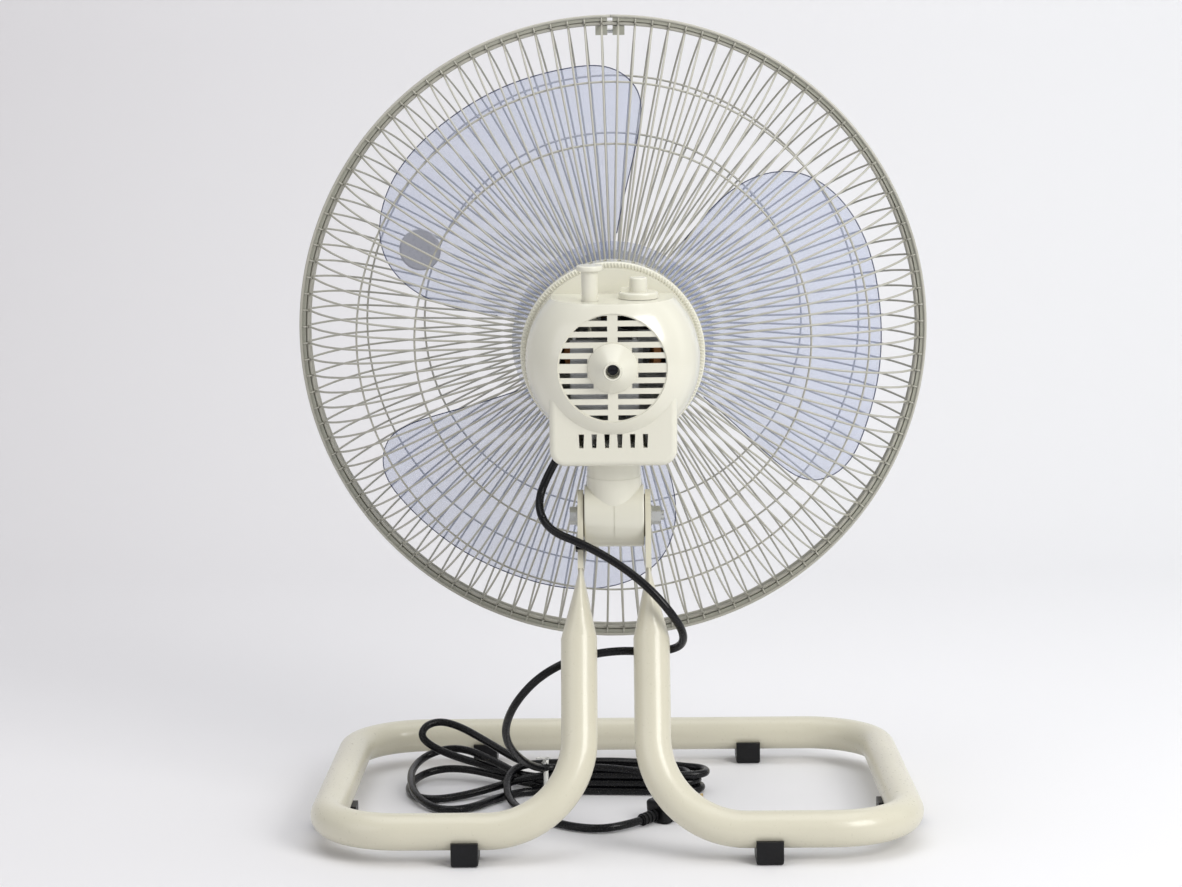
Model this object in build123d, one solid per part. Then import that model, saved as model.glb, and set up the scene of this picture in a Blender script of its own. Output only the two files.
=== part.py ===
from build123d import *
import math
import os

# ---------------------------------------------------------------------------
# Tube-stand floor fan, 18 inch class.  Millimetres.
# Part frame: +Z up, the fan blows towards -Y, origin on the floor under the
# middle of the stand.  The head's pieces are drawn in the head frame: origin
# where the tilt bolt crosses the swing axis, -Y towards the front guard.
# ---------------------------------------------------------------------------

# stand
TUBE_R = 14.3                # 28.6 mm steel tube
TUBE_WALL = 1.2
BASE_X = 228.4               # half width of the floor loop, to the tube's centreline
BASE_Y = 167.5               # half depth of the floor loop, to the tube's centreline
TUBE_Z = 24.3                # height of the floor loop's centreline
CORNER_R = 62.0
LEG_BEND_R = 72.0
LEG_X = 28.6                 # half spacing of the two legs

# tilt joint
PIVOT_Y = 57.2
PIVOT_Z = 253.4
HEAD_TILT = 4.5              # degrees, front of the head up, in the rest pose
EAR_IN_X = 24.6              # inner face of each flattened tube end
EAR_T = 4.5
EAR_R = 21.0
EAR_FLAT = 50.0              # flat stretch below the bolt
EAR_TAPER = 52.0             # stretch that turns from flat to round
BOLT_R = 4.0
KNUCKLE_R = 25.0
KNUCKLE_X = 23.8             # half width

# head, along the fan's axis (Y) and at the axis height
AXIS_Z = 127.7
RIM_Y = -146.0               # plane of the guard's rim
GUARD_R = 264.0              # outside of the rim band
COVER_SPLIT_Y = -20.0        # where the rear cover meets the front cover
COVER_FRONT_Y = -66.0
REAR_COVER_R = 69.0
FRONT_COVER_R = 74.0
SHELL = 2.5
SHELF_Z = 177.0              # flat top of the rear cover, under the two knobs
BOX_X = 50.0                 # half width of the cover's lower box
BOX_Z = 48.5                 # bottom of the lower box
BOX_Y = 44.0                 # rear face of the lower box
SHAFT_R = 5.0
SWEEP_R = 225.0              # blade tips

# oscillation gearing, seen from above in the head frame
CLUTCH_X = 17.5
CLUTCH_Y = 26.9
CRANK_X = -2.0
CRANK_Y = 22.5
CRANK_PIN_R = 8.5
STUD_R = 13.2                # from the swing axis to the fixed stud
GEAR_MODULE = 1.0
PINION_TEETH = 13
CRANK_TEETH = 27
WHEEL_TEETH = 32
WORM_MODULE = 0.75
WORM_R = 5.5                 # pitch radius, so worm and wheel centres are 17.5 apart

RUN = 0.05                   # radial clearance of a running fit
GAP = 0.3                    # clearance between pieces that move past each other


def head(shape):
    """Place a shape drawn in the head frame into the part frame."""
    return Pos(0, PIVOT_Y, PIVOT_Z) * Rot(-HEAD_TILT, 0, 0) * shape


def cyl_x(radius, x0, x1, y=0.0, z=0.0):
    return Pos((x0 + x1) / 2, y, z) * Rot(0, 90, 0) * Cylinder(radius, x1 - x0)


def cyl_y(radius, y0, y1, x=0.0, z=AXIS_Z):
    return Pos(x, (y0 + y1) / 2, z) * Rot(90, 0, 0) * Cylinder(radius, y1 - y0)


def cyl_z(radius, z0, z1, x=0.0, y=0.0):
    return Pos(x, y, (z0 + z1) / 2) * Cylinder(radius, z1 - z0)


def block(x0, x1, y0, y1, z0, z1):
    return Pos((x0 + x1) / 2, (y0 + y1) / 2, (z0 + z1) / 2) * Box(x1 - x0, y1 - y0, z1 - z0)


def ring_y(outer, inner, y0, y1, x=0.0, z=AXIS_Z):
    return cyl_y(outer, y0, y1, x, z) - cyl_y(inner, y0 - 1, y1 + 1, x, z)


def ring_z(outer, inner, z0, z1, x=0.0, y=0.0):
    return cyl_z(outer, z0, z1, x, y) - cyl_z(inner, z0 - 1, z1 + 1, x, y)


def ring_x(outer, inner, x0, x1, y=0.0, z=0.0):
    return cyl_x(outer, x0, x1, y, z) - cyl_x(inner, x0 - 1, x1 + 1, y, z)


def round_the_axis(profile):
    """Revolve a closed (y, r) outline about the fan's axis."""
    outline = Polyline(*[(y, r) for y, r in profile], close=True)
    face = make_face(outline)
    turned = revolve(face, Axis.X, 360)
    # the outline's first coordinate becomes head Y, its second the radius
    return Pos(0, 0, AXIS_Z) * Rot(0, 0, 90) * turned


def hexagon_x(across_flats, x0, x1):
    prism = extrude(RegularPolygon(across_flats / 2, 6, major_radius=False), x1 - x0)
    return Pos(x0, 0, 0) * Rot(0, 90, 0) * prism


# ---------------------------------------------------------------------------
# stand
# ---------------------------------------------------------------------------

LEG_TOP = Vector(EAR_IN_X + EAR_T / 2, PIVOT_Y, PIVOT_Z)
LEG_FOOT = Vector(LEG_X, BASE_Y, TUBE_Z)
LEG_DIR = Vector(0, BASE_Y - PIVOT_Y, TUBE_Z - PIVOT_Z).normalized()


def on_leg(distance, x):
    """Point of the leg's line, measured down from the tilt bolt."""
    return Vector(x, PIVOT_Y + LEG_DIR.Y * distance, PIVOT_Z + LEG_DIR.Z * distance)


def leg_plane(distance, x):
    return Plane(origin=on_leg(distance, x), x_dir=(1, 0, 0), z_dir=LEG_DIR)


def leg_end(side):
    """Tapered and flattened top of one leg, with its rounded ear."""
    taper_top = leg_plane(EAR_FLAT, side * LEG_TOP.X)
    taper_foot = leg_plane(EAR_FLAT + EAR_TAPER, side * LEG_X)
    ear_half = EAR_R
    outer = loft([taper_top * Ellipse(EAR_T / 2, ear_half), taper_foot * Circle(TUBE_R)])
    inner = loft([taper_top * Ellipse(EAR_T / 2 - TUBE_WALL, ear_half - TUBE_WALL),
                  taper_foot * Circle(TUBE_R - TUBE_WALL)])
    plate_x = side * LEG_TOP.X
    plate_plane = Plane(origin=(plate_x - EAR_T / 2, PIVOT_Y, PIVOT_Z), x_dir=LEG_DIR, z_dir=(1, 0, 0))
    round_end = extrude(plate_plane * Circle(EAR_R), EAR_T)
    straight = extrude(plate_plane * Pos(EAR_FLAT / 2, 0) * Rectangle(EAR_FLAT, 2 * EAR_R), EAR_T)
    corner = 12.0
    neck = extrude(plate_plane * Pos(EAR_FLAT + corner / 2, 0) * Rectangle(corner, 1.5 * EAR_R), EAR_T)
    return round_end + straight + (neck & outer) + (outer - inner)


def stand_tube():
    """One bent tube: leg, floor loop, leg, with both ends flattened into ears."""
    start = on_leg(EAR_FLAT + EAR_TAPER, LEG_X)
    finish = on_leg(EAR_FLAT + EAR_TAPER, -LEG_X)
    corners = [start, LEG_FOOT,
               Vector(BASE_X, BASE_Y, TUBE_Z), Vector(BASE_X, -BASE_Y, TUBE_Z),
               Vector(-BASE_X, -BASE_Y, TUBE_Z), Vector(-BASE_X, BASE_Y, TUBE_Z),
               Vector(-LEG_FOOT.X, LEG_FOOT.Y, LEG_FOOT.Z), finish]
    radii = [LEG_BEND_R, CORNER_R, CORNER_R, CORNER_R, CORNER_R, LEG_BEND_R]
    path = FilletPolyline(*corners, radius=radii)
    section = Plane(origin=path @ 0, z_dir=path % 0)
    outer = sweep(section * Circle(TUBE_R), path=path)
    inner = sweep(section * Circle(TUBE_R - TUBE_WALL), path=path)
    tube = (outer - inner) + leg_end(1) + leg_end(-1)
    tube -= cyl_x(BOLT_R + 0.1, -60, 60, PIVOT_Y, PIVOT_Z)
    for x, y, along_x in FEET:
        tube -= cyl_z(SCREW_R + 0.15, TUBE_Z - TUBE_R - 3, TUBE_Z - 5, x, y)
    return tube


FOOT_X = 117.0
SIDE_FOOT_Y = 55.0
FEET = [(FOOT_X, BASE_Y, True), (-FOOT_X, BASE_Y, True),
        (FOOT_X, -BASE_Y, True), (-FOOT_X, -BASE_Y, True),
        (BASE_X, SIDE_FOOT_Y, False), (-BASE_X, SIDE_FOOT_Y, False)]
FOOT_LENGTH = 21.0
FOOT_HALF = 17.2             # half width across the tube
FOOT_TOP = 18.5
SCREW_R = 2.0


def foot(x, y, along_x):
    """Rubber saddle that wraps the tube's underside, with a screw recess below."""
    body = block(-FOOT_LENGTH / 2, FOOT_LENGTH / 2, -FOOT_HALF, FOOT_HALF, 0, FOOT_TOP)
    body = fillet(body.edges().filter_by(Axis.X).group_by(Axis.Z)[0], 4.0)
    body = fillet(body.edges().filter_by(Axis.Z), 1.5)
    body -= cyl_x(TUBE_R, -40, 40, 0, TUBE_Z)
    body -= cyl_z(4.6, -1, 4.8)
    body -= cyl_z(SCREW_R + 0.15, 0, 20)
    turn = 0 if along_x else 90
    return Pos(x, y, 0) * Rot(0, 0, turn) * body


def stand_feet():
    return Compound(children=[foot(x, y, along_x) for x, y, along_x in FEET])


def foot_screw(x, y):
    pan = cyl_z(4.0, 2.2, 4.7)
    pan -= block(-3, 3, -0.5, 0.5, 1.5, 3.4)
    pan -= block(-0.5, 0.5, -3, 3, 1.5, 3.4)
    shank = cyl_z(SCREW_R, 4.6, 18.0)
    return Pos(x, y, 0) * (pan + shank)


def foot_screws():
    return Compound(children=[foot_screw(x, y) for x, y, _ in FEET])


WASHER_T = 1.2
HEX_AF = 13.0


def tilt_bolt():
    ear_out = EAR_IN_X + EAR_T
    shank = cyl_x(BOLT_R, -(ear_out + WASHER_T + 9.5), ear_out + WASHER_T + 1)
    head_face = ear_out + WASHER_T
    bolt_head = hexagon_x(HEX_AF, head_face, head_face + 5.3)
    bolt_head &= cyl_x(7.3, head_face, head_face + 5.3)
    return Pos(0, PIVOT_Y, PIVOT_Z) * (shank + bolt_head)


def tilt_nut():
    nut_face = EAR_IN_X + EAR_T + WASHER_T
    nut = hexagon_x(HEX_AF, -nut_face - 7.0, -nut_face) - cyl_x(BOLT_R, -60, 0)
    return Pos(0, PIVOT_Y, PIVOT_Z) * nut


def tilt_washers():
    ear_out = EAR_IN_X + EAR_T
    plus = ring_x(8.5, BOLT_R + 0.1, ear_out, ear_out + WASHER_T)
    minus = ring_x(8.5, BOLT_R + 0.1, -ear_out - WASHER_T, -ear_out)
    return Pos(0, PIVOT_Y, PIVOT_Z) * Compound(children=[plus, minus])


def friction_washers():
    """Thin fibre discs that fill the gap between the knuckle and the ears."""
    inner = KNUCKLE_X + RUN
    plus = ring_x(17.0, BOLT_R + 0.1, inner, EAR_IN_X)
    minus = ring_x(17.0, BOLT_R + 0.1, -EAR_IN_X, -inner)
    return Pos(0, PIVOT_Y, PIVOT_Z) * Compound(children=[plus, minus])


def on_ear(shape):
    """Place a shape on the +X ear: local X down the leg, local Y towards the back, local Z along +X."""
    return Plane(origin=(EAR_IN_X, PIVOT_Y, PIVOT_Z), x_dir=LEG_DIR, z_dir=(1, 0, 0)) * shape


def edge_clip():
    """Small plastic clip pushed on the back edge of the ear below the bolt."""
    body = block(27.5, 35.0, 15.0, EAR_R + 2.2, -1.6, EAR_T + 1.6)
    body -= block(27.0, 36.0, 14.0, EAR_R, 0, EAR_T)
    return on_ear(body)


def clip_strap():
    """Bent metal strip that hangs from the edge clip."""
    strip = block(35.0, 49.0, 17.0, 20.4, -1.1, 0)
    return on_ear(strip)


# ---------------------------------------------------------------------------
# tilt knuckle
# ---------------------------------------------------------------------------

COLLAR_R = 21.8
TURRET_R = 21.4
SEAM_Z = 33.0
TURRET_TOP = 55.0
POST_R = 6.0
POST_FOOT = 8.0
SLEEVE_TOP = 69.2
BOSS_FOOT = 69.5 + 0.6
NECK_TOP = 92.0


def tilt_knuckle():
    barrel = cyl_x(KNUCKLE_R, -KNUCKLE_X, KNUCKLE_X)
    barrel = fillet(barrel.edges().filter_by(GeomType.CIRCLE), 1.2)
    body = barrel + cyl_z(COLLAR_R, 8, SEAM_Z)
    seam = 0.6
    body -= ring_x(KNUCKLE_R + 2, KNUCKLE_R - 0.5, -seam / 2, seam / 2) & block(-1, 1, 0, 30, -30, 12)
    body -= cyl_x(BOLT_R + RUN, -30, 30)
    body -= cyl_z(POST_R, POST_FOOT, SEAM_Z + 1)
    return body


def swivel_turret():
    """Upper half of the neck, pressed on the post; carries the linkage's fixed stud."""
    body = cyl_z(TURRET_R, SEAM_Z, TURRET_TOP)
    body -= cyl_z(TURRET_R - 3, SEAM_Z + 3, TURRET_TOP - 4)
    body += cyl_z(10, SEAM_Z + 2, TURRET_TOP - 3)
    return body - cyl_z(POST_R, SEAM_Z - 1, TURRET_TOP + 1)


def link_stud():
    return cyl_z(LINK_PIN_R, TURRET_TOP, LINK_Z[1] + 0.3, -STUD_R, 0)


def pivot_post():
    return cyl_z(POST_R, POST_FOOT, NECK_TOP + 1.6) - cyl_z(1.8, NECK_TOP - 12, NECK_TOP + 2)


def post_sleeve():
    return ring_z(6.7, POST_R + 0.02, TURRET_TOP, SLEEVE_TOP)


def thrust_washer():
    return ring_z(9.5, POST_R + 0.02, SLEEVE_TOP, BOSS_FOOT - 0.02)


def post_screw():
    washer = cyl_z(9.0, NECK_TOP + 1.6, NECK_TOP + 2.8)
    shank = cyl_z(1.75, NECK_TOP - 10, NECK_TOP + 2)
    pan = cyl_z(3.6, NECK_TOP + 2.8, NECK_TOP + 5.2)
    return washer + shank + pan


# ---------------------------------------------------------------------------
# covers
# ---------------------------------------------------------------------------

DOME = [(COVER_SPLIT_Y, 69.0), (8, 69.0), (20, 67.2), (30, 63.4), (38, 58.6), (44, 53.4), (49, 47.0), (51.5, 42.8)]
DISC_Y = 50.4                # rear face of the slotted disc
DISC_R = 42.5
BOSS_TIP_Y = 68.5
SLOT_PITCH = 8.35
SLOT_H = 3.9
SLOT_OUT_R = 41.6            # the slots end at this radius


def solid_dome(inset):
    """Body of the rear cover, drawn in by inset, up to the slotted disc."""
    profile = [(COVER_SPLIT_Y - (1 if inset else 0), 0)]
    profile += [(COVER_SPLIT_Y - (1 if inset else 0), DOME[0][1] - inset)]
    curve = [(y - inset * 0.6 if y > 20 else y, r - inset * (1.0 if y < 40 else 0.8)) for y, r in DOME[1:]]
    line = Spline(*[Vector(y, r) for y, r in curve])
    first = Line(Vector(*profile[1]), line @ 0)
    last = Line(line @ 1, Vector((line @ 1).X, 0))
    close = Line(Vector((line @ 1).X, 0), Vector(*profile[0]))
    start = Line(Vector(*profile[0]), Vector(*profile[1]))
    face = make_face(Curve() + [start, first, line, last, close])
    return Pos(0, 0, AXIS_Z) * Rot(0, 0, 90) * revolve(face, Axis.X, 360)


def solid_box(inset, front, half_width=BOX_X, bottom=BOX_Z, rear=BOX_Y):
    """Lower box of a cover, with round lower corners."""
    half = half_width - inset
    floor = bottom + inset
    height = AXIS_Z - floor
    outline = Pos(0, floor + height / 2) * Rectangle(2 * half, height)
    outline = fillet(outline.vertices().sort_by(Axis.Y)[0:2], BOX_CORNER_R - inset)
    length = rear - inset - front
    solid = Pos(0, rear - inset, 0) * Rot(90, 0, 0) * extrude(outline, length)
    rear_edges = solid.faces().sort_by(Axis.Y)[-1].edges()
    keep = [e for e in rear_edges if e.center().Z < AXIS_Z - 3]
    return fillet(keep, 5.0 - inset * 0.8)


def slot_rows():
    """Horizontal slots of the rear disc: ten rows, split by a rib, clear of the boss."""
    cutter = None
    rows = [(i + 0.5) * SLOT_PITCH + 1.4 for i in range(5)]
    for level in [s * r for r in rows for s in (1, -1)]:
        inner = 4.0
        if abs(level) < 18.0:
            inner = math.sqrt(20.4 ** 2 - abs(level) ** 2)
        for side in (1, -1):
            x0, x1 = sorted((side * inner, side * DISC_R))
            z = AXIS_Z + level
            slot = block(x0, x1, DISC_Y - 8, DISC_Y + 4, z - SLOT_H / 2, z + SLOT_H / 2)
            cutter = slot if cutter is None else cutter + slot
    return cutter & cyl_y(SLOT_OUT_R, DISC_Y - 8, DISC_Y + 4)


def low_slots():
    """Six tapered vertical slots low on the box's rear face."""
    tops = None
    for i in range(6):
        x = (i - 2.5) * 10.0
        slot = Pos(x, 0, 69.0) * extrude(Rot(90, 0, 0) * Polygon((-1.6, -5.5), (1.6, -5.5), (2.1, 5.5), (-2.1, 5.5)),
                                         60, dir=(0, 1, 0))
        tops = slot if tops is None else tops + slot
    return tops


def rear_cover():
    outer = solid_dome(0) + solid_box(0, COVER_SPLIT_Y)
    outer -= block(-90, 90, -40, 90, SHELF_Z, 250)
    inner = solid_dome(SHELL) + solid_box(SHELL, COVER_SPLIT_Y - 1)
    inner -= block(-90, 90, -40, 90, SHELF_Z - SHELL, 250)
    shell = outer - inner
    wall_y = COVER_SPLIT_Y + SHELL
    shell += cyl_y(DOME[0][1], COVER_SPLIT_Y, wall_y) & block(-90, 90, COVER_SPLIT_Y, wall_y, SHELF_Z - SHELL, 250)
    shell -= cyl_y(DISC_R, DISC_Y, 60)
    cone = round_the_axis([(DISC_Y - 3.5, 0), (DISC_Y - 3.5, 19.6), (DISC_Y, 19.6), (DISC_Y + 1.5, 19.4),
                           (DISC_Y + 7, 14.5), (BOSS_TIP_Y - 3, 7.6), (BOSS_TIP_Y, 6.8), (BOSS_TIP_Y, 0)])
    shell += cone
    shell -= slot_rows()
    shell -= low_slots()
    shell -= cyl_y(5.6, 56.5, 80)
    shell -= cyl_y(2.3, 40, 70)
    shell -= cyl_z(TURRET_R + 0.6, BOX_Z - 2, BOX_Z + 6)
    shell -= cyl_z(KNOB_STEM_R + 0.5, SHELF_Z - 6, SHELF_Z + 2, CLUTCH_X, CLUTCH_Y)
    shell -= cyl_z(3.4, SHELF_Z - 6, SHELF_Z + 2, SPEED_X, SPEED_Y)
    shell += along_gland(GLAND_BORE + 2.2, -3.0, 0)
    shell -= along_gland(GLAND_BORE, -12, 6)
    shell -= along_gland(GLAND_BORE + 0.9, -12, -3.0)
    return shell


KNOB_STEM_R = 6.4
SPEED_X = -20.5
SPEED_Y = 12.0
GLAND_Y = 3.0
GLAND_BORE = 5.0
GLAND_DIP = 60.0             # degrees that the cord's exit points below level
BOX_CORNER_R = 13.0


def along_gland(radius, near, far):
    """Cylinder along the cord's exit, measured out from the box's rounded lower corner."""
    dip = math.radians(GLAND_DIP)
    out = Vector(math.cos(dip), 0, -math.sin(dip))
    corner = Vector(BOX_X - BOX_CORNER_R, GLAND_Y, BOX_Z + BOX_CORNER_R)
    start = corner + out * (BOX_CORNER_R + near)
    return extrude(Plane(origin=start, z_dir=out) * Circle(radius), far - near)


COVER_SLOTS = 40


def front_cover():
    """Cup over the motor, ribbed all round, with its own shallow lower box."""
    outer = round_the_axis([(COVER_SPLIT_Y, 0), (COVER_SPLIT_Y, FRONT_COVER_R - 1), (COVER_SPLIT_Y - 1, FRONT_COVER_R),
                            (COVER_SPLIT_Y - 5, FRONT_COVER_R), (-60, 71.5), (COVER_FRONT_Y, 66.0), (COVER_FRONT_Y, 0)])
    outer += solid_box(0, -46, BOX_X + 1.4, BOX_Z + 1.5, COVER_SPLIT_Y)
    inner = round_the_axis([(COVER_SPLIT_Y - 2.2, 0), (COVER_SPLIT_Y - 2.2, 70.6), (-59, 68.6),
                            (COVER_FRONT_Y + SHELL, 64.0), (COVER_FRONT_Y + SHELL, 0)])
    inner += round_the_axis([(COVER_SPLIT_Y + 1, 0), (COVER_SPLIT_Y + 1, 66.4), (COVER_SPLIT_Y - 3, 66.4),
                             (COVER_SPLIT_Y - 3, 0)])
    inner += solid_box(SHELL, -46 + SHELL, BOX_X + 1.4, BOX_Z + 1.5, COVER_SPLIT_Y + SHELL + 1)
    shell = outer - inner
    shell -= cyl_y(22, COVER_FRONT_Y - 1, COVER_FRONT_Y + 5)
    shell -= cyl_z(TURRET_R + 0.6, BOX_Z - 2, TURRET_TOP + 2)
    for i in range(COVER_SLOTS):
        angle = 360 / COVER_SLOTS * (i + 0.5)
        if 235 < angle < 305:
            continue
        cut = block(60, 80, -55, -27, -1.6, 1.6)
        shell -= Pos(0, 0, AXIS_Z) * Rot(0, -angle, 0) * cut
    return shell


def cover_screw():
    pan = cyl_y(4.0, 56.6, 59.4) - block(-3, 3, 58.4, 61, AXIS_Z - 0.5, AXIS_Z + 0.5)
    return pan + cyl_y(2.0, 40.6, 57)


# ---------------------------------------------------------------------------
# motor and gearbox
# ---------------------------------------------------------------------------

STATOR_Y = (-52.0, -24.0)
ROTOR_R = 27.6
SCREW_PCD_R = 47.5


def at_four(shape_at):
    out = []
    for i in range(4):
        a = math.radians(45 + 90 * i)
        out.append(shape_at(SCREW_PCD_R * math.cos(a), AXIS_Z + SCREW_PCD_R * math.sin(a)))
    return out


def stator_core():
    core = ring_y(53.0, ROTOR_R + 0.4, *STATOR_Y)
    for i in range(16):
        slot = block(31, 40, STATOR_Y[0] - 1, STATOR_Y[1] + 1, -3.2, 3.2)
        core -= Pos(0, 0, AXIS_Z) * Rot(0, 22.5 * i, 0) * slot
    for hole in at_four(lambda x, z: cyl_y(2.2, -60, -20, x, z)):
        core -= hole
    return core


def stator_coils():
    outline = [(0, 30.0), (0, 41.5), (1.5, 43.0), (5.5, 42.0), (7.2, 38.5), (7.2, 33.0), (5.5, 30.0)]
    front = round_the_axis([(STATOR_Y[0] - 0.2 - y, r) for y, r in outline])
    rear = round_the_axis([(STATOR_Y[1] + 0.2 + y, r) for y, r in outline])
    return Compound(children=[front, rear])


def bracket(y0, y1, boss_y0, boss_y1):
    """Pressed motor shield: a plate with four windows, a rim against the core and a bush seat."""
    plate = cyl_y(53.0, y0, y1)
    rim_end = STATOR_Y[0] if y0 < STATOR_Y[0] else STATOR_Y[1]
    rim = ring_y(53.0, 50.4, min(y0, rim_end), max(y1, rim_end))
    pads = at_four(lambda x, z: cyl_y(4.5, min(y0, rim_end), max(y1, rim_end), x, z))
    body = plate + rim + cyl_y(10.5, boss_y0, boss_y1)
    for pad in pads:
        body += pad
    for hole in at_four(lambda x, z: cyl_y(2.2, -70, 0, x, z)):
        body -= hole
    for i in range(4):
        window = block(24, 42, y0 - 1, y1 + 1, -9, 9)
        body -= Pos(0, 0, AXIS_Z) * Rot(0, 90 * i, 0) * window
    body -= block(-60, 60, -20.5, 0, SHELF_Z - SHELL - 0.6, 190)
    return body - cyl_y(8.0, boss_y0 - 1, boss_y1 + 1)


FRONT_BRACKET = (-63.3, -61.3)
REAR_BRACKET = (-14.5, -12.5)


def front_bracket():
    return bracket(*FRONT_BRACKET, -69.5, -57.0)


def rear_bracket():
    return bracket(*REAR_BRACKET, -16.5, -11.0)


def front_bush():
    return ring_y(8.0, SHAFT_R + RUN, -69.0, -57.5)


def rear_bush():
    return ring_y(8.0, SHAFT_R + RUN, -16.3, -11.2)


def bracket_screws():
    def screw(x, z):
        return cyl_y(2.0, -62, -11, x, z) + cyl_y(3.6, REAR_BRACKET[1], REAR_BRACKET[1] + 1.7, x, z)
    return Compound(children=at_four(screw))


def rotor_core():
    core = ring_y(ROTOR_R, SHAFT_R, -50, -26)
    core += ring_y(26.5, 20, -53, -50)
    return core + ring_y(26.5, 20, -26, -23)


SHAFT_FRONT = -134.0
WORM_Y = (17.0, 37.0)


def rotor_shaft():
    """Motor shaft, threaded nose at the front and worm at the rear."""
    root = WORM_R - 1.25 * WORM_MODULE
    shaft = cyl_y(SHAFT_R, -118, -5)
    shaft += cyl_y(3.9, SHAFT_FRONT, -117)
    shaft += cyl_y(root, -6, 38.6)
    pitch = math.pi * WORM_MODULE
    length = WORM_Y[1] - WORM_Y[0]
    helix = Helix(pitch=pitch, height=length, radius=root - 0.15, center=(0, 0, 0), direction=(0, 0, 1))
    tip_half = 0.26
    foot_half = 0.80
    height = 2.0 * WORM_MODULE + 0.2
    start = Plane(origin=helix @ 0, x_dir=(1, 0, 0), z_dir=helix % 0)
    section = start * Polygon((0, -foot_half), (height, -tip_half), (height, tip_half), (0, foot_half), align=None)
    thread = sweep(section, path=helix, is_frenet=True)
    thread = Pos(0, WORM_Y[1], AXIS_Z) * Rot(90, 0, 0) * thread
    shaft += thread
    return shaft - cyl_x(2.03, -10, 10, PIN_Y, AXIS_Z)


PIN_Y = -88.5


def drive_pin():
    return cyl_x(2.0, -15, 15, PIN_Y, AXIS_Z)


def gear(teeth, module, z0, z1, bore, phase=0.0, backlash=0.10):
    """Spur gear with straight-flanked teeth, drawn about the Z axis; a tooth points along +X."""
    pitch_r = teeth * module / 2
    tip = pitch_r + module * 0.85
    root = pitch_r - module * 1.15
    step = 2 * math.pi / teeth
    body = cyl_z(root, z0, z1)
    half_pitch = step / 4 - backlash / (2 * pitch_r)
    for i in range(teeth):
        a = step * i + phase
        pts = []
        for r, h in ((root - 0.3, half_pitch * 1.55), (tip, half_pitch * 0.52)):
            pts.append((r, h))
        corners = [(pts[0][0], -pts[0][1]), (pts[1][0], -pts[1][1]), (pts[1][0], pts[1][1]), (pts[0][0], pts[0][1])]
        flat = Polygon(*[(r * math.cos(a + h), r * math.sin(a + h)) for r, h in corners], align=None)
        body += Pos(0, 0, z0) * extrude(flat, z1 - z0)
    return body - cyl_z(bore, z0 - 1, z1 + 1)


CASE_X = (-20.0, 33.0)
CASE_Y = (-10.6, 42.6)
CASE_Z = (NECK_TOP, 146.0)
CASE_WALL = 2.6


def gearbox_case():
    x0, x1 = CASE_X
    y0, y1 = CASE_Y
    z0, z1 = CASE_Z
    body = block(x0, x1, y0, y1, z0, z1)
    floor = 7.6
    body -= block(x0 + CASE_WALL, x1 - CASE_WALL, y0 + CASE_WALL, y1 - CASE_WALL, z0 + floor, z1 + 1)
    body += cyl_z(12.0, BOSS_FOOT, z0 + 1, 0, 0) & block(-20, 20, y0, 30, 60, 100)
    body += cyl_z(6.8, 68.5, z0 + 1, CLUTCH_X, CLUTCH_Y)
    body -= cyl_z(POST_R + RUN, 60, z0 + 1.2)
    body -= cyl_z(10.0, z0 + 1.0, z0 + floor + 1)
    body -= cyl_z(4.0 + RUN, 60, z0 + floor + 1, CLUTCH_X, CLUTCH_Y)
    body -= cyl_z(2.5 + RUN, 60, z0 + floor + 1, CRANK_X, CRANK_Y)
    body += ring_z(5.0, 2.5 + RUN, 70.0, z0 + 0.5, CRANK_X, CRANK_Y)
    body -= cyl_y(7.0, y0 - 1, y0 + CASE_WALL + 1)
    body += cyl_y(7.0, y1 - CASE_WALL, y1 + 4.2)
    body -= cyl_y(2.0, y1 - CASE_WALL, y1 + 5)
    for x in (x0 + 2.8, x1 - 2.8):
        for y in (y0 + 2.8, y1 - 2.8):
            body += cyl_z(2.8, z0, z1, x, y)
            body -= cyl_z(1.25, z1 - 12, z1 + 1, x, y)
    return body


def gearbox_lid():
    x0, x1 = CASE_X
    y0, y1 = CASE_Y
    z = CASE_Z[1]
    lid = block(x0, x1, y0, y1, z, z + 2.4)
    lid -= cyl_z(4.0 + RUN, z - 1, z + 4, CLUTCH_X, CLUTCH_Y)
    for x, y in lid_corners():
        lid -= cyl_z(1.6, z - 1, z + 4, x, y)
    return lid


def lid_corners():
    x0, x1 = CASE_X
    y0, y1 = CASE_Y
    return [(x, y) for x in (x0 + 2.8, x1 - 2.8) for y in (y0 + 2.8, y1 - 2.8)]


def gearbox_screws():
    z = CASE_Z[1]
    return Compound(children=[cyl_z(1.25, z - 10, z + 2.5, x, y) + cyl_z(2.6, z + 2.4, z + 4.2, x, y)
                              for x, y in lid_corners()])


WHEEL_Z = (AXIS_Z - 4.0, AXIS_Z + 4.0)


def worm_wheel():
    body = gear(WHEEL_TEETH, WORM_MODULE, *WHEEL_Z, 4.0 + RUN, phase=wheel_phase(), backlash=0.22)
    # the throat lets the teeth clear the worm's root
    body -= cyl_y(WORM_R + 1.0 * WORM_MODULE, -60, 60, -CLUTCH_X, AXIS_Z) & block(-60, -40, -60, 60, 0, 1)
    body += ring_z(6.5, 4.0 + RUN, WHEEL_Z[0] - 3, WHEEL_Z[0])
    return Pos(CLUTCH_X, CLUTCH_Y, 0) * body


def wheel_phase():
    """Angle of the wheel tooth that stands midway between two turns of the worm's thread."""
    pitch = math.pi * WORM_MODULE
    tooth_y = WORM_Y[1] - 4.5 * pitch
    return math.pi + math.asin((CLUTCH_Y - tooth_y) / (WHEEL_TEETH * WORM_MODULE / 2))


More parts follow.
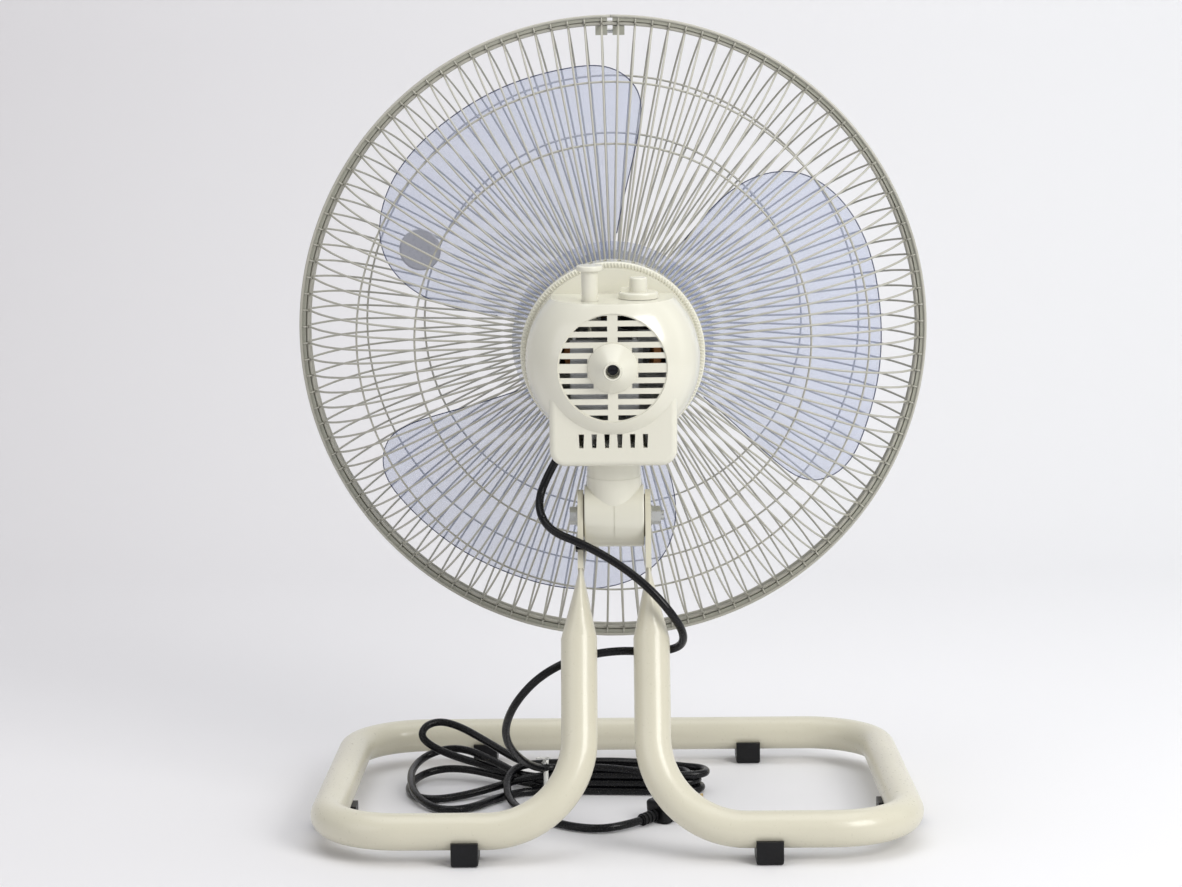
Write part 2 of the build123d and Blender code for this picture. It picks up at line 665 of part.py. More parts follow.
def clutch_shaft():
    """Vertical shaft with the small pinion at its foot; hollow for the knob's rod."""
    shaft = cyl_z(4.0, GEAR_Z[0], CASE_Z[1] + 4)
    angle = math.atan2(CRANK_Y - CLUTCH_Y, CRANK_X - CLUTCH_X)
    pinion = gear(PINION_TEETH, GEAR_MODULE, *GEAR_Z, 0.5, phase=angle)
    flange = cyl_z(5.6, WHEEL_Z[1] + 0.1, WHEEL_Z[1] + 2.2)
    return Pos(CLUTCH_X, CLUTCH_Y, 0) * (pinion + Pos(0, 0, 0) * flange) + \
        Pos(CLUTCH_X, CLUTCH_Y, 0) * shaft - cyl_z(1.7, 100, 160, CLUTCH_X, CLUTCH_Y)


def crank_gear():
    angle = math.atan2(CLUTCH_Y - CRANK_Y, CLUTCH_X - CRANK_X)
    half_tooth = math.pi / CRANK_TEETH
    wheel = gear(CRANK_TEETH, GEAR_MODULE, *GEAR_Z, 0.5, phase=angle + half_tooth)
    spindle = cyl_z(2.5, GEAR_Z[0], 96.0)
    hub = cyl_z(4.4, GEAR_Z[0], 69.6)
    pin = cyl_z(LINK_PIN_R, LINK_Z[0] - 0.1, GEAR_Z[0] + 1, -CRANK_PIN_R, 0)
    return Pos(CRANK_X, CRANK_Y, 0) * (wheel + spindle + hub + pin)


LINK_Z = (55.3, 57.1)        # the link lies under the crank gear
LINK_PIN_R = 1.5
LINK_EYE_R = 3.2             # open eye round the fixed stud
PIN_EYE_R = LINK_PIN_R + RUN
GEAR_Z = (57.6, 63.4)        # crank gear and pinion


def link_arm():
    pin = Vector(CRANK_X - CRANK_PIN_R, CRANK_Y)
    stud = Vector(-STUD_R, 0)
    angle = math.degrees(math.atan2(stud.Y - pin.Y, stud.X - pin.X))
    length = (stud - pin).length
    bar = Pos(length / 2, 0, 0) * Box(length, 2.6, 1)
    plate = cyl_z(2.9, 0, 1) + cyl_z(LINK_EYE_R + 1.2, 0, 1, length) + Pos(0, 0, 0.5) * bar
    plate -= cyl_z(PIN_EYE_R, -1, 2)
    plate -= cyl_z(LINK_EYE_R, -1, 2, length)
    plate = scale(plate, by=(1, 1, LINK_Z[1] - LINK_Z[0]))
    return Pos(pin.X, pin.Y, LINK_Z[0]) * Rot(0, 0, angle) * plate


def oscillation_knob():
    """Push-pull knob, drawn in the pulled position: oscillation off."""
    stem = cyl_z(KNOB_STEM_R, 160.0, 202.0)
    cap = cyl_z(10.4, 200.8, 205.0)
    cap = fillet(cap.edges().filter_by(GeomType.CIRCLE), 1.4)
    rod = cyl_z(1.5, 118.0, 161.0)
    return Pos(CLUTCH_X, CLUTCH_Y, 0) * (stem + cap + rod)


def speed_knob():
    disc = cyl_z(15.6, SHELF_Z + GAP, SHELF_Z + 5.2)
    disc = fillet(disc.edges().filter_by(GeomType.CIRCLE).group_by(Axis.Z)[-1], 1.6)
    grip = cyl_z(7.0, SHELF_Z + 4, SHELF_Z + 16.5)
    grip = fillet(grip.edges().filter_by(GeomType.CIRCLE).group_by(Axis.Z)[-1], 1.2)
    pointer = block(6, 13.4, -2.4, 2.4, SHELF_Z + 4, SHELF_Z + 8.2)
    stem = cyl_z(3.0, 173.2, SHELF_Z + 4)
    return Pos(SPEED_X, SPEED_Y, 0) * (disc + grip + pointer + stem)


def switch_body():
    """Rotary speed switch under the shelf, with its five terminals."""
    body = cyl_z(14.5, 154.0, 172.0)
    body += cyl_z(5.0, 171.0, 174.0)
    body -= cyl_z(3.0 + RUN, 173.0, 175.0)
    for i in range(5):
        terminal = block(10.0, 16.5, -0.4, 0.4, 156, 160)
        body += Rot(0, 0, -20 + 45 * i) * terminal
    return Pos(SPEED_X, SPEED_Y, 0) * body


def capacitor():
    body = block(-42.0, -26.5, -6.0, 32.0, 60.0, 86.0)
    return fillet(body.edges(), 1.6)


def capacitor_clamp():
    """Folded strap that holds the capacitor to the gearbox's foot."""
    outer = block(-43.4, -25.1, 8.0, 18.0, 58.6, 88.4)
    inner = block(-42.05, -26.45, 7.0, 19.0, 59.95, 86.05)
    tab = block(-26, -19.0, 8.0, 18.0, 87.0, 88.4)
    riser = block(-20.4, -19.0, 8.0, 18.0, 87.0, 91.9)
    return (outer - inner) + tab + riser


# ---------------------------------------------------------------------------
# guards and rim
# ---------------------------------------------------------------------------

WIRE = 2.4
WIRES = 58                   # every second one of the guard's 116 wires
RING_RADII = (163.0, 212.0)
# (radius, Y) along each dish, from its middle plate out to the rim
REAR_PROFILE = [(24.0, -69.8), (60.0, -69.8), (120.0, -72.0), (163.0, -76.0), (212.0, -90.0), (240.0, -113.0),
                (257.5, -141.0)]
FRONT_PROFILE = [(46.0, -206.0), (62.0, -206.0), (120.0, -204.5), (163.0, -202.0), (212.0, -194.0), (240.0, -176.0),
                 (257.5, -150.5)]
REAR_PLATE_R = 58.0
FRONT_PLATE_R = 61.0
EDGE_R = 256.0               # the gaps between the bars end at this radius
BAND_HALF = 7.5
BAND_INNER_R = 259.2


def grille_outline(inner_r, plate_r):
    """Plan of a grille: radial bars between ring bands, as one flat face with sector holes."""
    holes = []
    tops = [r - WIRE / 2 for r in RING_RADII] + [EDGE_R]
    bottoms = [plate_r] + [r + WIRE / 2 for r in RING_RADII]
    step = 2 * math.pi / WIRES
    for low, high in zip(bottoms, tops):
        for i in range(WIRES):
            a = step * i
            da_low = step / 2 - WIRE / 2 / low
            da_high = step / 2 - WIRE / 2 / high
            mid = a + step / 2
            pts = [(low * math.cos(mid - da_low), low * math.sin(mid - da_low)),
                   (high * math.cos(mid - da_high), high * math.sin(mid - da_high)),
                   (high * math.cos(mid + da_high), high * math.sin(mid + da_high)),
                   (low * math.cos(mid + da_low), low * math.sin(mid + da_low))]
            holes.append(Wire.make_polygon([Vector(x, y, 0) for x, y in pts], close=True))
    outer = Wire.make_circle(GUARD_R - 3.0)
    inner = Wire.make_circle(inner_r)
    return Face(outer, [inner] + holes)


def grille(profile, plate_r, outward):
    """A dished grille: a thin turned shell cut to radial bars and ring bands."""
    inner_r = profile[0][0]
    thick = WIRE
    near = [(y, r) for r, y in profile]
    far = [(y + outward * thick, r) for r, y in reversed(profile)]
    shell = round_the_axis(near + far)
    flat = grille_outline(inner_r, plate_r)
    low = min(y for y, _ in near + far) - 2
    high = max(y for y, _ in near + far) + 2
    prism = Solid.extrude(flat, Vector(0, 0, high - low))
    prism = Pos(0, high, AXIS_Z) * Rot(90, 0, 0) * prism
    return shell & prism


def rear_guard():
    body = grille(REAR_PROFILE, REAR_PLATE_R, -1)
    body += ring_y(BAND_INNER_R, 255.6, -143.8, -139.0)
    return body


def front_guard():
    body = grille(FRONT_PROFILE, FRONT_PLATE_R, 1)
    body += ring_y(BAND_INNER_R, 255.6, -153.0, -148.2)
    return body


def badge_cap():
    """Plain round cap in the middle of the front guard."""
    cap = round_the_axis([(-206, 0), (-206, 59), (-207.5, 60), (-209.5, 59), (-212, 48), (-213.8, 25), (-214.4, 0)])
    cap -= round_the_axis([(-205, 0), (-205, 50), (-209.2, 50), (-211, 38), (-212, 0)])
    return cap + ring_y(45.8, 43.5, -210.5, -203.0)


LUG_X = (2.2, 12.0)          # each end of the band is bent in to a lug beside the split
LUG_WALL = 1.8
LUG_R = (247.6, 255.2)
RIM_SCREW_R = 250.9          # distance of the rim screw from the fan's axis


def rim_band():
    """Channel band that clips the two guards together, split at the top."""
    y0 = RIM_Y - BAND_HALF
    y1 = RIM_Y + BAND_HALF
    band = ring_y(GUARD_R, BAND_INNER_R, y0, y1)
    band -= ring_y(GUARD_R + 1, GUARD_R - 1.6, RIM_Y - 3.2, RIM_Y + 3.2)
    band -= block(-LUG_X[0], LUG_X[0], y0 - 1, y1 + 1, AXIS_Z + 240, AXIS_Z + 280)
    for side in (1, -1):
        x0, x1 = sorted((side * LUG_X[0], side * LUG_X[1]))
        lug = block(x0, x1, RIM_Y - 4.6, RIM_Y + 4.6, AXIS_Z + LUG_R[0], AXIS_Z + LUG_R[1])
        inner_x0, inner_x1 = sorted((side * (LUG_X[0] + LUG_WALL), side * (LUG_X[1] + 1)))
        lug -= block(inner_x0, inner_x1, RIM_Y - 3.4, RIM_Y + 3.4, AXIS_Z + LUG_R[0] - 1, AXIS_Z + LUG_R[1] - 1.0)
        web = block(x0, x1, RIM_Y - 2.0, RIM_Y + 2.0, AXIS_Z + LUG_R[1] - 1.0, AXIS_Z + BAND_INNER_R + 0.4)
        band += lug + web
    return band - cyl_x(1.9, -20, 20, RIM_Y, AXIS_Z + RIM_SCREW_R)


def rim_screw():
    z = AXIS_Z + RIM_SCREW_R
    seat = LUG_X[0] + LUG_WALL
    return cyl_x(1.75, -8.0, seat, RIM_Y, z) + cyl_x(2.8, seat, seat + 2.4, RIM_Y, z)


def rim_nut():
    z = AXIS_Z + RIM_SCREW_R
    seat = -LUG_X[0] - LUG_WALL
    nut = Pos(0, RIM_Y, z) * hexagon_x(5.5, seat - 2.4, seat)
    return nut - cyl_x(1.78, -20, 20, RIM_Y, z)


def guard_nut():
    """Large ring nut that clamps the rear guard to the motor's nose."""
    body = ring_y(33.0, 10.7, -79.0, -72.2)
    body += ring_y(15.0, 10.7, -79.0, -70.0)
    for i in range(12):
        a = math.radians(30 * i)
        body -= cyl_y(3.2, -80, -72.0, 35.0 * math.cos(a), AXIS_Z + 35.0 * math.sin(a))
    return body


def guard_seat():
    """Spigot on the motor's nose that centres the guard."""
    return ring_y(21.6, 10.7, -69.8, FRONT_BRACKET[0]) + ring_y(35.5, 21.0, -69.8, COVER_FRONT_Y - 0.1)


# ---------------------------------------------------------------------------
# blades
# ---------------------------------------------------------------------------

HUB_R = 27.0
HUB_Y = (-130.0, -84.0)
BLADES = 3
BLADE_T = 2.2
LEAD_Y = -98.0               # leading edge, near the rear guard
PITCH_DROP = 46.0            # how far the trailing edge lies in front of the leading edge
BLADE_SPAN = 78.0            # degrees from the trailing to the leading edge at the root


def blade_outline():
    """Outline of one blade, seen from behind; angles are from the blade's trailing root."""
    polar = [(22.0, 12.0), (60.0, 10.0), (110.0, 9.5), (150.0, 11.0), (182.0, 15.0), (205.0, 21.0), (218.0, 28.5)]
    trailing = [at_polar(r, a) for r, a in polar]
    tip = [at_polar(SWEEP_R, a) for a in (40.0, 54.0, 68.0, 82.0)]
    lead = [at_polar(r, a) for r, a in ((221.0, 92.0), (206.0, 97.0), (170.0, 98.5), (120.0, 96.0), (70.0, 92.0),
                                        (22.0, 88.0))]
    edge = Spline(*trailing, *tip, *lead)
    root = Line(edge @ 1, edge @ 0)
    return make_face(Curve() + [edge, root])


def at_polar(radius, degrees):
    a = math.radians(degrees)
    return Vector(radius * math.cos(a), radius * math.sin(a))


def blade_depth(radius, degrees):
    """Head Y of the blade's middle surface."""
    along = degrees / BLADE_SPAN
    outer = max(0.0, (radius - 60.0) / (SWEEP_R - 60.0))
    drop = PITCH_DROP * (1.0 - 0.18 * outer)
    lead = LEAD_Y - 14.0 * outer ** 1.5
    camber = 7.0 * math.sin(math.pi * min(max(along, 0.0), 1.0))
    return lead - drop * (1.0 - along) - camber


def blade():
    rows = []
    for r in (14.0, 50.0, 90.0, 130.0, 170.0, 205.0, 236.0):
        row = []
        for a in range(-14, 113, 14):
            p = at_polar(r, a)
            row.append(Vector(p.X, p.Y, -blade_depth(r, a)))
        rows.append(row)
    surface = Face.make_surface_from_array_of_points(rows)
    sheet = Solid.thicken(surface, BLADE_T)
    low = 60.0
    prism = Pos(0, 0, low) * extrude(blade_outline(), 140)
    return sheet & prism


NUT_SEAT = 124.4             # how far in front of the pivot the hub's boss ends


def blade_set():
    """Three clear paddles moulded on one hub; the hub's back has a slot for the drive pin."""
    one = blade()
    disc = Pos(0, 0, -HUB_Y[1]) * extrude(Circle(83.0) - Circle(HUB_R - 1), 2.2)
    hub = Pos(0, 0, -HUB_Y[1]) * extrude(Circle(HUB_R), HUB_Y[1] - HUB_Y[0])
    body = hub + disc
    for i in range(BLADES):
        body += Rot(0, 0, 120 * i + BLADE_TURN) * one
    nose = Pos(0, 0, -HUB_Y[1] + 3.5) * extrude(Circle(HUB_R - 2.6) - Circle(9.5), HUB_Y[1] - HUB_Y[0])
    body -= nose
    body -= Pos(0, 0, NUT_SEAT) * extrude(Circle(HUB_R - 2.6), 20)
    body -= Cylinder(SHAFT_R + RUN, 400)
    # local +Z is the head's -Y; local +X is the head's -X, seen from behind as right
    placed = Pos(0, 0, AXIS_Z) * Rot(0, 0, 180) * Rot(-90, 0, 0) * body
    slot = block(-15.6, 15.6, HUB_Y[1] - 6.6, HUB_Y[1] + 1, AXIS_Z - 2.2, AXIS_Z + 2.2)
    return placed - slot


BLADE_TURN = 59.0


def blade_nut():
    body = ring_y(11.0, 3.9, -133.0, -124.5)
    body += cyl_y(13.5, -137.0, -132.5)
    body = body - cyl_y(3.95, SHAFT_FRONT - 0.1, -120)
    for i in range(8):
        a = math.radians(45 * i)
        body -= cyl_y(1.6, -140, -131, 14.2 * math.cos(a), AXIS_Z + 14.2 * math.sin(a))
    return body


# ---------------------------------------------------------------------------
# mains cord: gland, flying stretch, run round the legs, hank, tail and plug
# ---------------------------------------------------------------------------

CORD_R = 3.3
GLAND_FACE = 2.2             # the cord leaves the bush this far outside the box's corner
SHORT_RUN_SHARE = 0.45       # an arc uses this share of the shorter of its two runs


def strain_relief():
    """Grommet in the lower corner of the rear cover, where the cord comes out."""
    body = along_gland(GLAND_BORE - 0.02, -4.6, 0)
    body += along_gland(GLAND_BORE + 1.6, 0, GLAND_FACE)
    body += along_gland(GLAND_BORE + 0.7, -4.6, -3.05)
    return body - along_gland(CORD_R, -6, 4)


def gland_exit(distance):
    """Point on the cord's exit line, in the part frame."""
    dip = math.radians(GLAND_DIP)
    out = Vector(math.cos(dip), 0, -math.sin(dip))
    corner = Vector(BOX_X - BOX_CORNER_R, GLAND_Y, BOX_Z + BOX_CORNER_R)
    here = corner + out * (BOX_CORNER_R + GLAND_FACE + distance)
    return head(Location(here)).position


# from the head, round the -X leg, back between the legs and down to the hank
LEG_ROUTE = [gland_exit(0), gland_exit(23), (61, 74, 262), (51, 90, 246), (25, 99, 237), (-3, 106, 222),
             (-26, 115, 205), (-44, 119, 185), (-55, 107, 165), (-51, 85, 150), (-28, 77, 146), (0, 80, 148),
             (32, 83, 143), (60, 89, 130), (80, 84, 108), (90, 62, 83), (89, 36, 62), (80, 4, 42), (68, -36, 23)]
NEAR_POINTS = 3              # points of the stretch between the head and the knuckle
FREE_POINTS = 9              # points before the middle of the run that presses on the leg
# out of the hank, along the floor in front of it, to the plug
TAIL_ROUTE = [(91, -27, 4.5), (89, -3, 3.6), (78, 25, 3.6), (60, 52, 3.6), (38, 76, 3.6), (14, 86, 3.8),
              (-7, 77, 4.6), (-19.1, 65, 5.3)]


def arc_radii(points):
    """The largest even arc at each corner of a route."""
    radii = []
    for before, here, after in zip(points, points[1:], points[2:]):
        turn = math.radians((here - before).get_angle(after - here))
        run = min((here - before).length, (after - here).length)
        radii.append(SHORT_RUN_SHARE * run / math.tan(turn / 2))
    return radii


def tube_along(points, radii):
    path = FilletPolyline(*points, radius=radii)
    tube = sweep(Plane(origin=path @ 0, z_dir=path % 0) * Circle(CORD_R), path=path)
    section = math.pi * CORD_R ** 2
    print("cord radii", [round(r) for r in radii], "length", round(path.length),
          "volume over section times length", round(tube.volume / (section * path.length), 4))
    return tube


def leg_route():
    return [Vector(*p) for p in LEG_ROUTE]


def leg_stretch(first, last):
    """Tube through points first to last - 1 of the leg route, ending midway along the runs beside them."""
    points = leg_route()
    radii = arc_radii(points)
    start = [(points[first - 1] + points[first]) / 2] if first else []
    finish = [(points[last - 1] + points[last]) / 2] if last < len(points) else []
    return tube_along(start + points[first:last] + finish, radii[max(first - 1, 0):last - 1])


def cord_upper():
    """Free stretch from the head; it bends as the head swings."""
    return leg_stretch(0, NEAR_POINTS)


def cord_lower():
    """Free stretch down to the leg; it bends as the head tilts."""
    return leg_stretch(NEAR_POINTS, FREE_POINTS)


def cord_run():
    """Stretch that lies round the legs and drops to the hank."""
    return leg_stretch(FREE_POINTS, len(LEG_ROUTE))


def cord_tail():
    points = [Vector(*p) for p in TAIL_ROUTE]
    return tube_along(points, arc_radii(points))


HANK_TIE_X = 60.0


def cord_hank():
    """Outer shape of the tied hank: narrow at the tie, its loops splayed and lifted at the +X end."""
    plan = Polyline((-80, -35), (-64, -24), (40, -27), (HANK_TIE_X, -27), (80, -27), (98, -22), (122, 12), (140, 28),
                    (154, 14), (170, -20), (181, -60), (177, -100), (158, -122), (80, -94), (HANK_TIE_X, -84),
                    (40, -84), (-64, -86), (-80, -72), close=True)
    side = Polyline((-90, 0.3), (-90, 22), (HANK_TIE_X - 20, 27), (HANK_TIE_X + 20, 27), (190, 58), (190, 0.3),
                    close=True)
    outline = make_face(plan)
    outline = fillet([v for v in outline.vertices() if abs(v.X - HANK_TIE_X) > 79 or v.X < -60], 6.0)
    tall = extrude(outline, 80)
    lying = Pos(0, 0, 0) * Rot(90, 0, 0) * extrude(make_face(side), 200)
    body = tall & lying
    waist = block(HANK_TIE_X - TIE_HALF, HANK_TIE_X + TIE_HALF, -200, 0, 0, 60)
    waist -= block(HANK_TIE_X - TIE_HALF - 1, HANK_TIE_X + TIE_HALF + 1, *TIE_Y, -1, TIE_TOP)
    return body - waist


TIE_HALF = 2.5
TIE_Y = (-74.0, -33.0)
TIE_TOP = 24.0
TIE_T = 1.2


def hank_tie():
    """Twist tie round the waist of the hank."""
    y0, y1 = TIE_Y
    x0, x1 = HANK_TIE_X - TIE_HALF, HANK_TIE_X + TIE_HALF
    band = block(x0, x1, y0 - TIE_T, y1 + TIE_T, 0.3, TIE_TOP + TIE_T)
    return band - block(x0 - 1, x1 + 1, y0, y1, 0, TIE_TOP)


PLUG_AT = Vector(*TAIL_ROUTE[-1])
PLUG_HEADING = -135.0        # degrees from +X, on the floor
PLUG_RELIEF = 17.0
PLUG_BODY = 33.0


def on_plug(shape):
    """Place a shape with local X along the plug, away from the cord."""
    return Pos(PLUG_AT.X, PLUG_AT.Y, PLUG_AT.Z) * Rot(0, 0, PLUG_HEADING) * Rot(0, -5, 0) * shape


def plug_body():
    relief = extrude(Plane.YZ * Circle(CORD_R + 0.9), PLUG_RELIEF)
    for i in range(4):
        at = Plane.YZ.offset(1.5 + 4.0 * i)
        relief += extrude(at * Circle(CORD_R + 1.7), 2.2)
    body = Pos(PLUG_RELIEF + PLUG_BODY / 2, 0, 2.4) * Box(PLUG_BODY, 24, 17)
    body = fillet(body.edges().filter_by(Axis.Z), 5)
    body = fillet(body.edges().group_by(Axis.Z)[-1], 3)
    body -= Pos(PLUG_RELIEF + 12, 15.6, 2.4) * Cylinder(6, 30) + Pos(PLUG_RELIEF + 12, -15.6, 2.4) * Cylinder(6, 30)
    return on_plug(relief + body)


def plug_pins():
    pins = []
    for side in (1, -1):
        blade = Pos(PLUG_RELIEF + PLUG_BODY + 8.5, side * 6.35, 2.4) * Box(17, 1.5, 6.4)
        pins.append(on_plug(blade - Pos(PLUG_RELIEF + PLUG_BODY + 13, side * 6.35, 2.4) * Rot(90, 0, 0)
                            * Cylinder(1.6, 4)))
    return Compound(children=pins)


def build():
    os.makedirs("parts", exist_ok=True)
    in_place = {
        "stand_tube": stand_tube, "stand_feet": stand_feet, "foot_screws": foot_screws,
        "tilt_bolt": tilt_bolt, "tilt_nut": tilt_nut, "tilt_washers": tilt_washers,
        "friction_washers": friction_washers, "edge_clip": edge_clip, "clip_strap": clip_strap,
        "cord_upper": cord_upper, "cord_lower": cord_lower, "cord_run": cord_run,
        "cord_hank": cord_hank, "hank_tie": hank_tie, "cord_tail": cord_tail,
        "plug_body": plug_body, "plug_pins": plug_pins,
    }
    on_head = {
        "tilt_knuckle": tilt_knuckle, "swivel_turret": swivel_turret, "link_stud": link_stud,
        "pivot_post": pivot_post, "post_sleeve": post_sleeve, "thrust_washer": thrust_washer,
        "post_screw": post_screw,
        "rear_cover": rear_cover, "front_cover": front_cover, "cover_screw": cover_screw,
        "stator_core": stator_core, "stator_coils": stator_coils,
        "front_bracket": front_bracket, "rear_bracket": rear_bracket,
        "front_bush": front_bush, "rear_bush": rear_bush, "bracket_screws": bracket_screws,
        "rotor_core": rotor_core, "rotor_shaft": rotor_shaft, "drive_pin": drive_pin,
        "gearbox_case": gearbox_case, "gearbox_lid": gearbox_lid, "gearbox_screws": gearbox_screws,
        "worm_wheel": worm_wheel, "clutch_shaft": clutch_shaft, "crank_gear": crank_gear,
        "link_arm": link_arm, "oscillation_knob": oscillation_knob, "speed_knob": speed_knob,
        "switch_body": switch_body, "capacitor": capacitor, "capacitor_clamp": capacitor_clamp,
        "rear_guard": rear_guard, "front_guard": front_guard, "badge_cap": badge_cap,
        "rim_band": rim_band, "rim_screw": rim_screw, "rim_nut": rim_nut,
        "guard_nut": guard_nut, "guard_seat": guard_seat,
        "blade_set": blade_set, "blade_nut": blade_nut, "strain_relief": strain_relief,
    }
    for name, make in in_place.items():
        export_step(make(), f"parts/{name}.step")
    for name, make in on_head.items():
        export_step(head(make()), f"parts/{name}.step")


if __name__ == "__main__":
    build()
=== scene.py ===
import math

import bpy
from mathutils import Matrix, Vector
from mathutils.bvhtree import BVHTree


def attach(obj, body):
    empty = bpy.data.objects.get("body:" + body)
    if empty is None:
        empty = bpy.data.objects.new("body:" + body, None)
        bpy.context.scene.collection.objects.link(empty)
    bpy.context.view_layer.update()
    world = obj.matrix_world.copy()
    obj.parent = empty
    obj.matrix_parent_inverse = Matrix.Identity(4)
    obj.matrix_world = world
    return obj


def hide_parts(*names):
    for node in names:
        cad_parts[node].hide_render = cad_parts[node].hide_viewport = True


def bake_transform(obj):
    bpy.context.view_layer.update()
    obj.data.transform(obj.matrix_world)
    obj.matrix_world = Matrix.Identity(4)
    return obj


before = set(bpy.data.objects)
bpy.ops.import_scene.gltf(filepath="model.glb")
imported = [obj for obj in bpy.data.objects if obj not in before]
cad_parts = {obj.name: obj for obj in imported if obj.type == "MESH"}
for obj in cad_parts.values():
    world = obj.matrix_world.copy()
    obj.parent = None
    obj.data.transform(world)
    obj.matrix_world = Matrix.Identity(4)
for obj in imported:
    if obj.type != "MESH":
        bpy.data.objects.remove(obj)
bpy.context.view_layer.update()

MM = 0.001

# the head's own frame, as in the part: origin at the tilt pivot, -Y to the front
PIVOT_Y = 57.2
PIVOT_Z = 253.4
HEAD_TILT = math.radians(4.5)
AXIS_Z = 127.7


def mm(x, y, z):
    """A point of the part frame, from millimetres."""
    return Vector((x, y, z)) * MM


def head(x, y, z):
    """A point of the head's frame in millimetres, placed in the part frame."""
    c, s = math.cos(HEAD_TILT), math.sin(HEAD_TILT)
    return mm(x, PIVOT_Y + y * c + z * s, PIVOT_Z - y * s + z * c)


def on_guard(angle, r, y):
    """A point at radius r from the fan's axis. Angle 0 is at the top."""
    return head(r * math.sin(angle), y, AXIS_Z + r * math.cos(angle))


# ---------------------------------------------------------------- mesh tools

def smooth_curve(points, steps):
    """A curve through all the points."""
    ends = [2 * points[0] - points[1]] + list(points) + [2 * points[-1] - points[-2]]
    line = []
    for before, a, b, after in zip(ends, ends[1:], ends[2:], ends[3:]):
        for i in range(steps):
            t = i / steps
            line.append(0.5 * (2 * a + (b - before) * t + (2 * before - 5 * a + 4 * b - after) * t ** 2
                               + (3 * a - before - 3 * b + after) * t ** 3))
    line.append(points[-1].copy())
    return line


def rounded_line(points, steps):
    """A line along the runs between the points that rounds every corner, as a quadratic spline does."""
    corners = points[1:-1]
    middles = [(a + b) / 2 for a, b in zip(corners, corners[1:])]
    starts = [points[0]] + middles
    finishes = middles + [points[-1]]
    line = []
    for a, corner, b in zip(starts, corners, finishes):
        for i in range(steps):
            t = i / steps
            line.append(a * (1 - t) ** 2 + corner * (2 * t * (1 - t)) + b * t ** 2)
    line.append(points[-1].copy())
    return line


def tube(vertices, faces, line, radius, sides=8, closed=False):
    """Adds a round bar along a line to the two lists."""
    count = len(line)
    base = len(vertices)
    normal = None
    for i, here in enumerate(line):
        before = line[i - 1] if i or closed else here
        after = line[(i + 1) % count] if i < count - 1 or closed else here
        along = (after - before).normalized()
        if normal is None:
            normal = along.orthogonal().normalized()
        normal = (normal - along * normal.dot(along)).normalized()
        across = along.cross(normal)
        for k in range(sides):
            a = math.tau * k / sides
            vertices.append(here + (normal * math.cos(a) + across * math.sin(a)) * radius)
    rows = count if closed else count - 1
    for i in range(rows):
        near = base + i * sides
        far = base + (i + 1) % count * sides
        for k in range(sides):
            n = (k + 1) % sides
            faces.append((near + k, near + n, far + n, far + k))
    if not closed:
        faces.append(tuple(base + k for k in reversed(range(sides))))
        faces.append(tuple(base + (count - 1) * sides + k for k in range(sides)))


def mesh_piece(name, vertices, faces, material, body=None):
    """A smooth-shaded mesh object that rides on the body, if one is given."""
    mesh = bpy.data.meshes.new(name)
    mesh.from_pydata([tuple(v) for v in vertices], [], faces)
    mesh.validate()
    for face in mesh.polygons:
        face.use_smooth = True
    mesh.materials.append(material)
    piece = bpy.data.objects.new(name, mesh)
    bpy.context.scene.collection.objects.link(piece)
    if body:
        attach(piece, body)
    return piece


def tube_piece(name, line, radius, material, sides):
    """One round bar as an object of its own."""
    vertices, faces = [], []
    tube(vertices, faces, line, radius, sides)
    return mesh_piece(name, vertices, faces, material)


# ---------------------------------------------------------------- materials

def new_material(name, colour, roughness, metallic=0.0, coat=0.0):
    """A material and its Principled node."""
    material = bpy.data.materials.new(name)
    material.use_nodes = True
    shader = material.node_tree.nodes["Principled BSDF"]
    shader.inputs["Base Color"].default_value = (*colour, 1)
    shader.inputs["Roughness"].default_value = roughness
    shader.inputs["Metallic"].default_value = metallic
    shader.inputs["Coat Weight"].default_value = coat
    return material, shader


def noise(material, scale, detail=3.0, stretch=(1, 1, 1)):
    """Noise over the object's own coordinates. stretch packs it closer along an axis."""
    nodes, links = material.node_tree.nodes, material.node_tree.links
    place = nodes.new("ShaderNodeTexCoord")
    mapping = nodes.new("ShaderNodeMapping")
    mapping.inputs["Scale"].default_value = stretch
    texture = nodes.new("ShaderNodeTexNoise")
    texture.inputs["Scale"].default_value = scale
    texture.inputs["Detail"].default_value = detail
    links.new(place.outputs["Object"], mapping.inputs["Vector"])
    links.new(mapping.outputs["Vector"], texture.inputs["Vector"])
    return texture.outputs["Fac"]


def vary_colour(material, shader, value, low, high, dark, light):
    """Colour goes from dark to light as the value goes from low to high."""
    ramp = material.node_tree.nodes.new("ShaderNodeValToRGB")
    ramp.color_ramp.elements[0].position = low
    ramp.color_ramp.elements[0].color = (*dark, 1)
    ramp.color_ramp.elements[1].position = high
    ramp.color_ramp.elements[1].color = (*light, 1)
    material.node_tree.links.new(value, ramp.inputs["Fac"])
    material.node_tree.links.new(ramp.outputs["Color"], shader.inputs["Base Color"])


def vary_roughness(material, shader, value, low, high):
    """Roughness goes from low to high over the middle of the noise's range."""
    spread = material.node_tree.nodes.new("ShaderNodeMapRange")
    spread.inputs["From Min"].default_value = 0.3
    spread.inputs["From Max"].default_value = 0.7
    spread.inputs["To Min"].default_value = low
    spread.inputs["To Max"].default_value = high
    material.node_tree.links.new(value, spread.inputs["Value"])
    material.node_tree.links.new(spread.outputs["Result"], shader.inputs["Roughness"])


def bump(material, shader, value, strength, depth):
    """Fine relief from the value. depth is in metres."""
    node = material.node_tree.nodes.new("ShaderNodeBump")
    node.inputs["Strength"].default_value = strength
    node.inputs["Distance"].default_value = depth
    material.node_tree.links.new(value, node.inputs["Height"])
    material.node_tree.links.new(node.outputs["Normal"], shader.inputs["Normal"])


